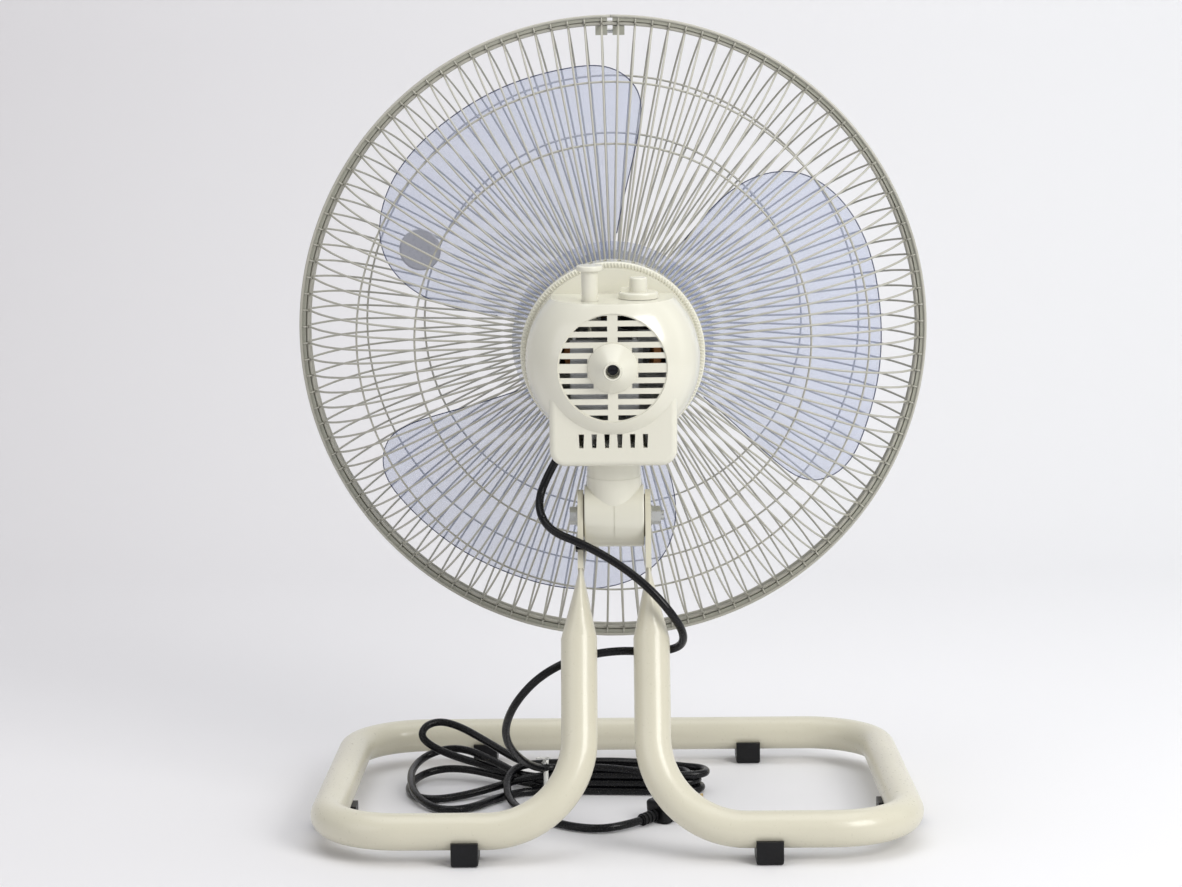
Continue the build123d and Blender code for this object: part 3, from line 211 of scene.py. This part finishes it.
def scaled(colour, factor):
    """The colour made darker or lighter, with no channel over 1."""
    return tuple(min(1.0, c * factor) for c in colour)


def satin(name, colour, roughness, grain, depth, contrast=0.05, metallic=0.0, coat=0.0,
          stretch=(1, 1, 1)):
    """A painted or moulded surface: soft cloudy colour, uneven gloss and a fine skin."""
    material, shader = new_material(name, colour, roughness, metallic, coat)
    cloud = noise(material, 9.0, 4.0)
    dark, light = scaled(colour, 1 - contrast), scaled(colour, 1 + contrast)
    vary_colour(material, shader, cloud, 0.3, 0.7, dark, light)
    skin = noise(material, grain, 3.0, stretch)
    vary_roughness(material, shader, skin, roughness * 0.8, roughness * 1.2)
    bump(material, shader, skin, 0.25, depth)
    return material


def cream_paint():
    return satin("cream_paint", (0.665, 0.635, 0.51), 0.33, 420.0, 0.0004, 0.03, coat=0.25)


def cream_plastic():
    return satin("cream_plastic", (0.745, 0.73, 0.625), 0.2, 900.0, 0.0002, 0.02, coat=0.35)


def wire_paint():
    return satin("wire_paint", (0.46, 0.45, 0.39), 0.36, 700.0, 0.0002, 0.08, coat=0.15)


def rim_paint():
    return satin("rim_paint", (0.36, 0.36, 0.30), 0.4, 500.0, 0.0003, 0.08, coat=0.1)


def blade_plastic():
    """Clear, pale blue sheet."""
    material, shader = new_material("blade_plastic", (0.60, 0.66, 0.90), 0.14, coat=0.3)
    shader.inputs["Alpha"].default_value = 0.24
    cloud = noise(material, 6.0, 2.0)
    vary_colour(material, shader, cloud, 0.3, 0.7, (0.40, 0.48, 0.76), (0.46, 0.54, 0.80))
    flow = noise(material, 40.0, 2.0, (1, 1, 5))
    vary_roughness(material, shader, flow, 0.12, 0.22)
    bump(material, shader, flow, 0.1, 0.0004)
    return material


def matt_black(name, colour, roughness, grain, depth):
    """Rubber or black plastic: cloudy black with a fine skin and a weak highlight."""
    material, shader = new_material(name, colour, roughness)
    shader.inputs["Specular IOR Level"].default_value = 0.3
    cloud = noise(material, 30.0, 3.0)
    vary_colour(material, shader, cloud, 0.3, 0.7, scaled(colour, 0.7), scaled(colour, 1.3))
    skin = noise(material, grain, 3.0)
    vary_roughness(material, shader, skin, roughness * 0.8, roughness * 1.2)
    bump(material, shader, skin, 0.25, depth)
    return material


def black_rubber():
    return matt_black("black_rubber", (0.004, 0.004, 0.005), 0.42, 600.0, 0.0003)


def cord_black():
    return matt_black("cord_black", (0.003, 0.003, 0.004), 0.28, 900.0, 0.0001)


def black_plastic():
    return matt_black("black_plastic", (0.005, 0.005, 0.006), 0.4, 500.0, 0.0003)


def white_plastic():
    return satin("white_plastic", (0.78, 0.78, 0.74), 0.4, 600.0, 0.0002, 0.03)


def badge_plastic():
    return satin("badge_plastic", (0.66, 0.66, 0.64), 0.25, 600.0, 0.0002, 0.03, coat=0.4)


def fibre():
    return satin("fibre", (0.18, 0.11, 0.06), 0.7, 900.0, 0.0003, 0.25)


def metal(name, colour, roughness, stretch=(1, 1, 1), contrast=0.08):
    """Bare or plated metal. stretch makes the grain run one way."""
    return satin(name, colour, roughness, 500.0, 0.0002, contrast, metallic=1.0, stretch=stretch)


def zinc_steel():
    return metal("zinc_steel", (0.62, 0.63, 0.62), 0.32)


def steel():
    return metal("steel", (0.52, 0.52, 0.53), 0.26, (1, 1, 6))


def black_steel():
    return metal("black_steel", (0.03, 0.03, 0.034), 0.35)


def core_steel():
    return metal("core_steel", (0.28, 0.28, 0.30), 0.5, (1, 12, 1), 0.2)


def copper_wire():
    return metal("copper_wire", (0.60, 0.27, 0.12), 0.35, (1, 1, 8), 0.2)


def bronze():
    return metal("bronze", (0.60, 0.44, 0.20), 0.4)


def cast_alloy():
    return metal("cast_alloy", (0.55, 0.56, 0.57), 0.5, contrast=0.12)


MAKERS = [cream_paint, cream_plastic, wire_paint, rim_paint, blade_plastic, black_rubber, black_plastic,
          white_plastic, badge_plastic, fibre, zinc_steel, black_steel, steel, core_steel, copper_wire,
          bronze, cast_alloy]
finish = {maker.__name__: maker() for maker in MAKERS}
cord_finish = cord_black()


def paint_cad_nodes():
    """Every CAD node keeps its shape and takes the detailed material of its slot."""
    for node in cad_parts.values():
        if node.type != "MESH":
            continue
        for place in node.material_slots:
            plain = place.material.name.split(".")[0]
            if plain in finish:
                place.material = finish[plain]


# ---------------------------------------------------------------- camera, light, stage

CAMERA_AT = Vector((-0.00293, 2.1496, 0.548))
CAMERA_TOWARDS = Vector((0.00995, -0.99362, -0.1123))
CAMERA_ROLL = math.radians(-0.59)
CAMERA_LENS = 80.29


def make_camera():
    """The main camera: behind the fan, a little above the motor."""
    towards = CAMERA_TOWARDS.normalized()
    level = towards.cross(Vector((0, 0, 1))).normalized()
    up = level.cross(towards)
    right = level * math.cos(CAMERA_ROLL) + up * math.sin(CAMERA_ROLL)
    data = bpy.data.cameras.new("camera")
    data.lens = CAMERA_LENS
    data.sensor_width = 36.0
    data.clip_start = 0.05
    camera = bpy.data.objects.new("camera", data)
    bpy.context.scene.collection.objects.link(camera)
    turn = Matrix((right, (-towards).cross(right), -towards)).transposed()
    camera.matrix_world = Matrix.Translation(CAMERA_AT) @ turn.to_4x4()
    bpy.context.scene.camera = camera


def area_light(name, place, aim, size, power, colour):
    """A rectangular lamp of the given power in watts that points at aim."""
    data = bpy.data.lights.new(name, "AREA")
    data.shape = "RECTANGLE"
    data.size, data.size_y = size
    data.energy = power
    data.color = colour
    light = bpy.data.objects.new(name, data)
    light.location = place
    light.rotation_euler = (Vector(aim) - Vector(place)).to_track_quat("-Z", "Y").to_euler()
    bpy.context.scene.collection.objects.link(light)


def make_lights():
    """Four soft lamps, and a world that looks brighter to the camera than it lights the fan."""
    area_light("window", (-1.5, 1.6, 1.5), (0, 0, 0.3), (1.2, 1.2), 34, (1.0, 0.99, 0.97))
    area_light("fill", (1.9, 1.5, 1.0), (0, 0, 0.3), (1.4, 1.4), 6, (0.97, 0.95, 1.0))
    area_light("top", (0.0, -0.1, 2.4), (0, -0.1, 0), (2.4, 2.4), 28, (0.98, 0.99, 1.0))
    area_light("backdrop_right", (-1.7, -0.3, 1.0), (-0.8, -1.8, 0.2), (1.2, 1.6), 3, (1.0, 1.0, 1.0))
    world = bpy.data.worlds.new("world")
    world.use_nodes = True
    nodes, links = world.node_tree.nodes, world.node_tree.links
    soft = nodes["Background"]
    soft.inputs["Color"].default_value = (0.96, 0.96, 0.97, 1)
    soft.inputs["Strength"].default_value = 0.40
    seen = nodes.new("ShaderNodeBackground")
    seen.inputs["Color"].default_value = (0.80, 0.80, 0.82, 1)
    path = nodes.new("ShaderNodeLightPath")
    mix = nodes.new("ShaderNodeMixShader")
    links.new(path.outputs["Is Camera Ray"], mix.inputs[0])
    links.new(soft.outputs["Background"], mix.inputs[1])
    links.new(seen.outputs["Background"], mix.inputs[2])
    links.new(mix.outputs["Shader"], nodes["World Output"].inputs["Surface"])
    bpy.context.scene.world = world
    bpy.context.scene.view_settings.view_transform = "Standard"


def make_stage():
    """Floor that curves up into the backdrop. Its back is clear, so that the fan's front shows too."""
    near_y, bend_y, bend_r, height, half = 3.2, -1.2, 0.7, 2.6, 4.5
    bend_steps = 24
    gap_below_feet = 0.0002
    profile = [(near_y, 0.0), (bend_y, 0.0)]
    for i in range(1, bend_steps + 1):
        a = math.pi / 2 * i / bend_steps
        profile.append((bend_y - bend_r * math.sin(a), bend_r * (1 - math.cos(a))))
    profile.append((bend_y - bend_r, height))
    vertices = [(x, y, z - gap_below_feet) for y, z in profile for x in (half, -half)]
    faces = [(2 * i, 2 * i + 1, 2 * i + 3, 2 * i + 2) for i in range(len(profile) - 1)]
    material, shader = new_material("paper", (0.88, 0.88, 0.92), 0.75)
    nodes, links = material.node_tree.nodes, material.node_tree.links
    place = nodes.new("ShaderNodeTexCoord")
    split = nodes.new("ShaderNodeSeparateXYZ")
    spread = nodes.new("ShaderNodeMapRange")
    spread.inputs["From Min"].default_value = -1.0
    spread.inputs["From Max"].default_value = 1.1
    links.new(place.outputs["Object"], split.inputs["Vector"])
    links.new(split.outputs["X"], spread.inputs["Value"])
    # Painted light and shade: the paper is painted lighter towards -X, where the lamps stand, and darker
    # towards +X. This stands in for the light falling off across the floor and backdrop.
    painted_lit_end, painted_shade_end = (0.88, 0.885, 0.90), (0.80, 0.785, 0.80)
    vary_colour(material, shader, spread.outputs["Result"], 0.0, 1.0, painted_lit_end, painted_shade_end)
    bump(material, shader, noise(material, 60.0), 0.05, 0.0005)
    side = nodes.new("ShaderNodeNewGeometry")
    clear = nodes.new("ShaderNodeBsdfTransparent")
    mix = nodes.new("ShaderNodeMixShader")
    links.new(side.outputs["Backfacing"], mix.inputs[0])
    links.new(shader.outputs["BSDF"], mix.inputs[1])
    links.new(clear.outputs["BSDF"], mix.inputs[2])
    links.new(mix.outputs["Shader"], nodes["Material Output"].inputs["Surface"])
    stage = mesh_piece("backdrop", vertices, faces, material)


# ---------------------------------------------------------------- cords

CORD_D = 6.6 * MM
CORD_SIDES = 16


def gland_exit(distance):
    """Point on the cord's exit line at the head's lower corner, a distance outside the bush."""
    dip = math.radians(60)
    bush_end = 15.2
    reach = bush_end + distance
    return head(37.0 + reach * math.cos(dip), 3.0, 61.5 - reach * math.sin(dip))


LEG_ROUTE = [gland_exit(0), gland_exit(23), mm(61, 74, 262), mm(51, 90, 246), mm(25, 99, 237),
             mm(-3, 106, 222), mm(-26, 115, 205), mm(-44, 119, 185), mm(-55, 107, 165), mm(-51, 85, 150),
             mm(-28, 77, 146), mm(0, 80, 148), mm(32, 83, 143), mm(60, 89, 130), mm(80, 84, 108),
             mm(90, 62, 83), mm(89, 36, 62), mm(80, 4, 42), mm(68, -36, 25)]
TAIL_ROUTE = [mm(82, -60, 22), mm(92, -44, 18), mm(93, -22, 10), mm(88, 0, 4.5), mm(78, 25, 3.6),
              mm(60, 52, 3.6), mm(38, 76, 3.6), mm(14, 86, 3.8), mm(-7, 77, 4.6), mm(-19.1, 65, 5.3)]
NEAR_JOIN = (LEG_ROUTE[2] + LEG_ROUTE[3]) / 2
HELD_POINT = (LEG_ROUTE[8] + LEG_ROUTE[9]) / 2


def right_turn(z_in, z_out, end_x, z_end):
    """Half a turn of the hank towards -X, from a strand at the tie's front round to one at its back."""
    return [mm(38, -44, z_in), mm(8, -42, z_in), mm(-28, -39, (z_in + z_end) / 2),
            mm(end_x + 16, -39, z_end), mm(end_x + 3, -44, z_end), mm(end_x, -55, z_end),
            mm(end_x + 5, -66, z_end), mm(end_x + 20, -72, z_end),
            mm(-28, -72, (z_out + z_end) / 2), mm(8, -67, z_out), mm(38, -63, z_out)]


HIGH_TURN = [mm(62, -61, 16.8), mm(88, -80, 23), mm(115, -100, 35), mm(138, -109, 46), mm(155, -110, 50),
             mm(167, -103, 47), mm(170, -95, 39), mm(158, -92, 30), mm(138, -90, 22), mm(108, -86, 14),
             mm(84, -74, 10.5), mm(62, -62, 10.2)]
FRONT_TURN = [mm(62, -44, 10.2), mm(84, -56, 15), mm(106, -76, 22), mm(130, -100, 27), mm(150, -112, 25),
              mm(168, -108, 19), mm(177, -84, 14), mm(176, -50, 12), mm(170, -16, 8), mm(154, 12, 3.8),
              mm(138, 21, 3.6), mm(120, 12, 3.6), mm(103, -16, 3.6), mm(84, -38, 3.6), mm(62, -44, 3.6)]
FLOOR_TURN = [mm(62, -61, 3.6), mm(86, -76, 4), mm(110, -92, 7), mm(132, -102, 9), mm(152, -104, 9),
              mm(169, -96, 6), mm(178, -72, 3.8), mm(177, -42, 3.6), mm(166, -20, 3.6), mm(148, -16, 3.6),
              mm(124, -32, 4), mm(104, -43, 7), mm(84, -46, 12.5), mm(62, -44, 16.8)]
HANK_ROUTE = ([mm(56, -46, 22.8)] + right_turn(23.4, 16.8, -62, 15) + HIGH_TURN
              + list(reversed(right_turn(10.2, 10.2, -70, 10.2))) + FRONT_TURN
              + right_turn(3.6, 3.6, -73, 3.6) + FLOOR_TURN
              + right_turn(16.8, 23.4, -77, 17) + [mm(62, -61, 23.4)])


def line_length(line):
    return sum((b - a).length for a, b in zip(line, line[1:]))


def make_cords():
    """The cord as three pieces: across the swing, across the tilt, and the loose rest to the plug."""
    upper_line = rounded_line(LEG_ROUTE[:3] + [NEAR_JOIN], 10)
    lower_line = rounded_line([NEAR_JOIN] + LEG_ROUTE[3:9] + [HELD_POINT], 10)
    upper = tube_piece("cord_from_head", upper_line, CORD_D / 2, cord_finish, CORD_SIDES)
    lower = tube_piece("cord_to_leg", lower_line, CORD_D / 2, cord_finish, CORD_SIDES)
    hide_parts("cord_upper")
    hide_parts("cord_lower")
    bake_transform(upper)
    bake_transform(lower)

    route = [HELD_POINT] + LEG_ROUTE[9:] + HANK_ROUTE + TAIL_ROUTE
    data = bpy.data.curves.new("cord_loose", "CURVE")
    data.dimensions = "3D"
    data.bevel_depth = CORD_D / 2
    data.bevel_resolution = 5
    data.resolution_u = 10
    data.use_fill_caps = True
    spline = data.splines.new("NURBS")
    spline.points.add(len(route) - 1)
    for point, at in zip(spline.points, route):
        point.co = (*at, 1)
    spline.order_u = 3
    spline.use_endpoint_u = True
    data.materials.append(cord_finish)
    loose = bpy.data.objects.new("cord_loose", data)
    bpy.context.scene.collection.objects.link(loose)
    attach(loose, "stand")
    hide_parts("cord_run", "cord_hank", "cord_tail")

    tie = make_tie()
    line_length(rounded_line(route, 10))


def make_tie():
    """Twist tie round the hank: a thin paper band with two twisted tails."""
    vertices, faces = [], []
    outline = []
    centre_y, centre_z = -53, 13.6
    half_width, half_height = 13.5, 13.2
    points = 48
    squareness = 0.7
    for i in range(points):
        a = math.tau * i / points
        across = math.copysign(abs(math.cos(a)) ** squareness, math.cos(a))
        up = math.copysign(abs(math.sin(a)) ** squareness, math.sin(a))
        outline.append((centre_y + half_width * across, centre_z + half_height * up))
    for x in (58.0, 62.0):
        for grow in (1.0, 1.03):
            for y, z in outline:
                above = max(0.2, centre_z + (z - centre_z) * grow)
                vertices.append(mm(x, centre_y + (y - centre_y) * grow, above))
    n = len(outline)
    for i in range(n):
        j = (i + 1) % n
        faces.append((i, j, n + j, n + i))
        faces.append((2 * n + j, 2 * n + i, 3 * n + i, 3 * n + j))
        faces.append((n + i, n + j, 3 * n + j, 3 * n + i))
        faces.append((j, i, 2 * n + i, 2 * n + j))
    for side in (-1, 1):
        line = smooth_curve([mm(60, -44, 26), mm(61 + 2 * side, -42, 28), mm(61 - side, -39, 31),
                             mm(61 + 3 * side, -36, 34), mm(62 + 6 * side, -33, 34)], 5)
        tube(vertices, faces, line, 0.8 * MM, 6)
    tie = mesh_piece("twist_tie", vertices, faces, finish["white_plastic"], "stand")
    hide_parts("hank_tie")
    return tie


# ---------------------------------------------------------------- guards

# radius and y, from the centre plate out to the rim
REAR_PROFILE = [(24.0, -69.8), (60.0, -69.8), (120.0, -72.0), (163.0, -76.0), (212.0, -90.0),
                (240.0, -113.0), (257.5, -141.0)]
FRONT_PROFILE = [(46.0, -206.0), (62.0, -206.0), (120.0, -204.5), (163.0, -202.0), (212.0, -194.0),
                 (240.0, -176.0), (257.5, -150.5)]
WIRES = 116
WIRE_R = 0.9 * MM
RING_RADII = (163.0, 212.0)
RIM_R = 257.4
RING_STEPS = 180
PLATE_HALF = 1.3


def bar_angle(k):
    """Where bar number k stands round the axis."""
    return math.tau * (k + 0.5) / WIRES


def guard_bars(name, profile, hole_r, plate_r, rim_y, inward):
    """Bars that curve from the centre plate to the rim, two rings inside them and a rim ring."""
    vertices, faces = [], []
    curve = smooth_curve([Vector(p) for p in profile], 5)
    for k in range(WIRES):
        tube(vertices, faces, [on_guard(bar_angle(k), r, y) for r, y in curve], WIRE_R, 6)
    for ring_r in RING_RADII:
        ring_y = next(y for r, y in curve if r >= ring_r - 0.01) + inward * 2.2
        ring = [on_guard(math.tau * i / RING_STEPS, ring_r, ring_y) for i in range(RING_STEPS)]
        tube(vertices, faces, ring, WIRE_R, 6, closed=True)
    rim = [on_guard(math.tau * i / RING_STEPS, RIM_R, rim_y) for i in range(RING_STEPS)]
    tube(vertices, faces, rim, 1.8 * MM, 8, closed=True)
    centre_y = profile[0][1]
    spin = 96
    inner_y, outer_y = centre_y + inward * PLATE_HALF, centre_y - inward * PLATE_HALF
    rings = [(hole_r, inner_y), (plate_r, inner_y), (plate_r + 0.8, centre_y), (plate_r, outer_y),
             (hole_r, outer_y)]
    base = len(vertices)
    for r, y in rings:
        for i in range(spin):
            vertices.append(on_guard(math.tau * i / spin, max(r, 0.5), y))
    for row in range(len(rings) - 1):
        for i in range(spin):
            j = (i + 1) % spin
            near, far = base + row * spin, base + (row + 1) * spin
            faces.append((near + i, near + j, far + j, far + i))
    piece = mesh_piece(name, vertices, faces, finish["wire_paint"], "head")
    return piece


def make_guards():
    """Both guards with all their round bars, in place of the CAD's flat ones."""
    rear = guard_bars("rear_bars", REAR_PROFILE, 24.0, 58.0, -141.4, -1)
    front = guard_bars("front_bars", FRONT_PROFILE, 0, 61.0, -150.6, 1)
    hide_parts("rear_guard")
    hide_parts("front_guard")
    make_hooks()


def make_hooks():
    """The bars' ends, bent round the rim over the band's dark groove, and the rim's outer lip."""
    vertices, faces = [], []
    for k in range(WIRES):
        line = smooth_curve([Vector((257.6, -139.2)), Vector((260.0, -137.6)), Vector((262.4, -139.0)),
                             Vector((262.9, -142.0)), Vector((262.9, -146.0))], 3)
        tube(vertices, faces, [on_guard(bar_angle(k), r, y) for r, y in line], WIRE_R * 0.85, 6)
    lip_steps = 240
    lip = [on_guard(math.tau * k / lip_steps, 263.2, -138.0) for k in range(lip_steps + 1)]
    tube(vertices, faces, lip, 1.3 * MM, 8)
    hooks = mesh_piece("bar_hooks", vertices, faces, finish["wire_paint"], "head")


# ---------------------------------------------------------------- blades

def blade_surface():
    """The CAD blades as a tree that rays can be cast on."""
    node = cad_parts["blade_set"]
    return BVHTree.FromObject(node, bpy.context.evaluated_depsgraph_get())


def make_sticker():
    """Plain round label on the upper left blade's rear face."""
    tree = blade_surface()
    centre_x, centre_z, radius = 161.0, 71.0, 17.5
    axis = head(0, 0, 0) - head(0, 1, 0)
    axis.normalize()
    vertices, faces = [], []
    rings, spokes = 8, 40
    for lift in (0.35 * MM, 0.1 * MM):
        for ring in range(rings + 1):
            for i in range(spokes):
                a = math.tau * i / spokes
                r = radius * ring / rings
                start = head(centre_x + r * math.cos(a), -60, AXIS_Z + centre_z + r * math.sin(a))
                hit, _, _, _ = tree.ray_cast(start, axis)
                if hit is None:
                    print("sticker misses the blade at", centre_x, centre_z)
                    return
                vertices.append(hit - axis * lift)
    layer = (rings + 1) * spokes
    for ring in range(rings):
        for i in range(spokes):
            j = (i + 1) % spokes
            a, b = ring * spokes, (ring + 1) * spokes
            faces.append((a + i, b + i, b + j, a + j))
            faces.append((layer + a + i, layer + a + j, layer + b + j, layer + b + i))
    edge = rings * spokes
    for i in range(spokes):
        j = (i + 1) % spokes
        faces.append((edge + i, layer + edge + i, layer + edge + j, edge + j))
    material = satin("sticker_film", (0.40, 0.41, 0.47), 0.3, 500.0, 0.0002, 0.1, coat=0.3)
    sticker = mesh_piece("blade_sticker", vertices, faces, material, "rotor")


def edge_lines():
    """The lines where the paddles' rear faces meet their cut edges, outside the hub's disc."""
    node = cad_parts["blade_set"]
    hub_edge = 83.5 * MM
    mesh, world = node.data, node.matrix_world
    axis = (head(0, 1, 0) - head(0, 0, 0)).normalized()
    centre = head(0, 0, AXIS_Z)
    spots = [world @ vertex.co for vertex in mesh.vertices]
    keys = [tuple(round(c * 1e5) for c in spot) for spot in spots]
    sides, rears = set(), set()
    for polygon in mesh.polygons:
        facing = (world.to_3x3() @ polygon.normal).normalized().dot(axis)
        chosen = sides if abs(facing) < 0.5 else rears if facing > 0 else None
        if chosen is not None:
            ring = [keys[i] for i in polygon.vertices]
            chosen.update(frozenset(pair) for pair in zip(ring, ring[1:] + ring[:1]))
    place = dict(zip(keys, spots))
    neighbours = {}
    for edge in sides & rears:
        ends = sorted(edge)
        away = [place[k] - centre for k in ends]
        if len(ends) == 2 and all((v - axis * v.dot(axis)).length > hub_edge for v in away):
            neighbours.setdefault(ends[0], []).append(ends[1])
            neighbours.setdefault(ends[1], []).append(ends[0])
    lines, seen = [], set()
    for start in sorted(neighbours, key=lambda k: (len(neighbours[k]), k)):
        line, here = [], start
        while here is not None and here not in seen:
            seen.add(here)
            line.append(place[here])
            here = next((k for k in neighbours[here] if k not in seen), None)
        if len(line) > 3:
            lines.append(line)
    return lines


def make_blade_edges():
    """Painted shade: a fine dark bead along each paddle's outline stands in for the dark look that the
    clear sheet's cut edges get from the light bent in them.
    """
    vertices, faces = [], []
    for line in edge_lines():
        tube(vertices, faces, line, 0.45 * MM, 6)
    # the beads' near-black blue is painted shade for the sheet's cut edges, not a colour of the sheet
    material = satin("blade_edge_painted_shade", (0.06, 0.07, 0.13), 0.25, 500.0, 0.0001, 0.1)
    edges = mesh_piece("painted_blade_edge_shade", vertices, faces, material, "rotor")


def make_cover_ribs():
    """Fine radial ribs on the rear face of the motor's front cover."""
    vertices, faces = [], []
    ribs_round = 168
    gap_from, gap_to = 142, 218
    inner_r, outer_r, face_y = 69.8, 73.2, -19.9
    for k in range(ribs_round):
        degrees = k * 360 / ribs_round
        if gap_from < degrees < gap_to:
            continue
        a = math.radians(degrees)
        line = [on_guard(a, inner_r, face_y), on_guard(a, outer_r, face_y)]
        tube(vertices, faces, line, 0.7 * MM, 6)
    ribs = mesh_piece("cover_ribs", vertices, faces, finish["cream_plastic"], "head")


make_camera()
make_cords()
paint_cad_nodes()
make_guards()
make_blade_edges()
make_sticker()
make_cover_ribs()
make_lights()
make_stage()
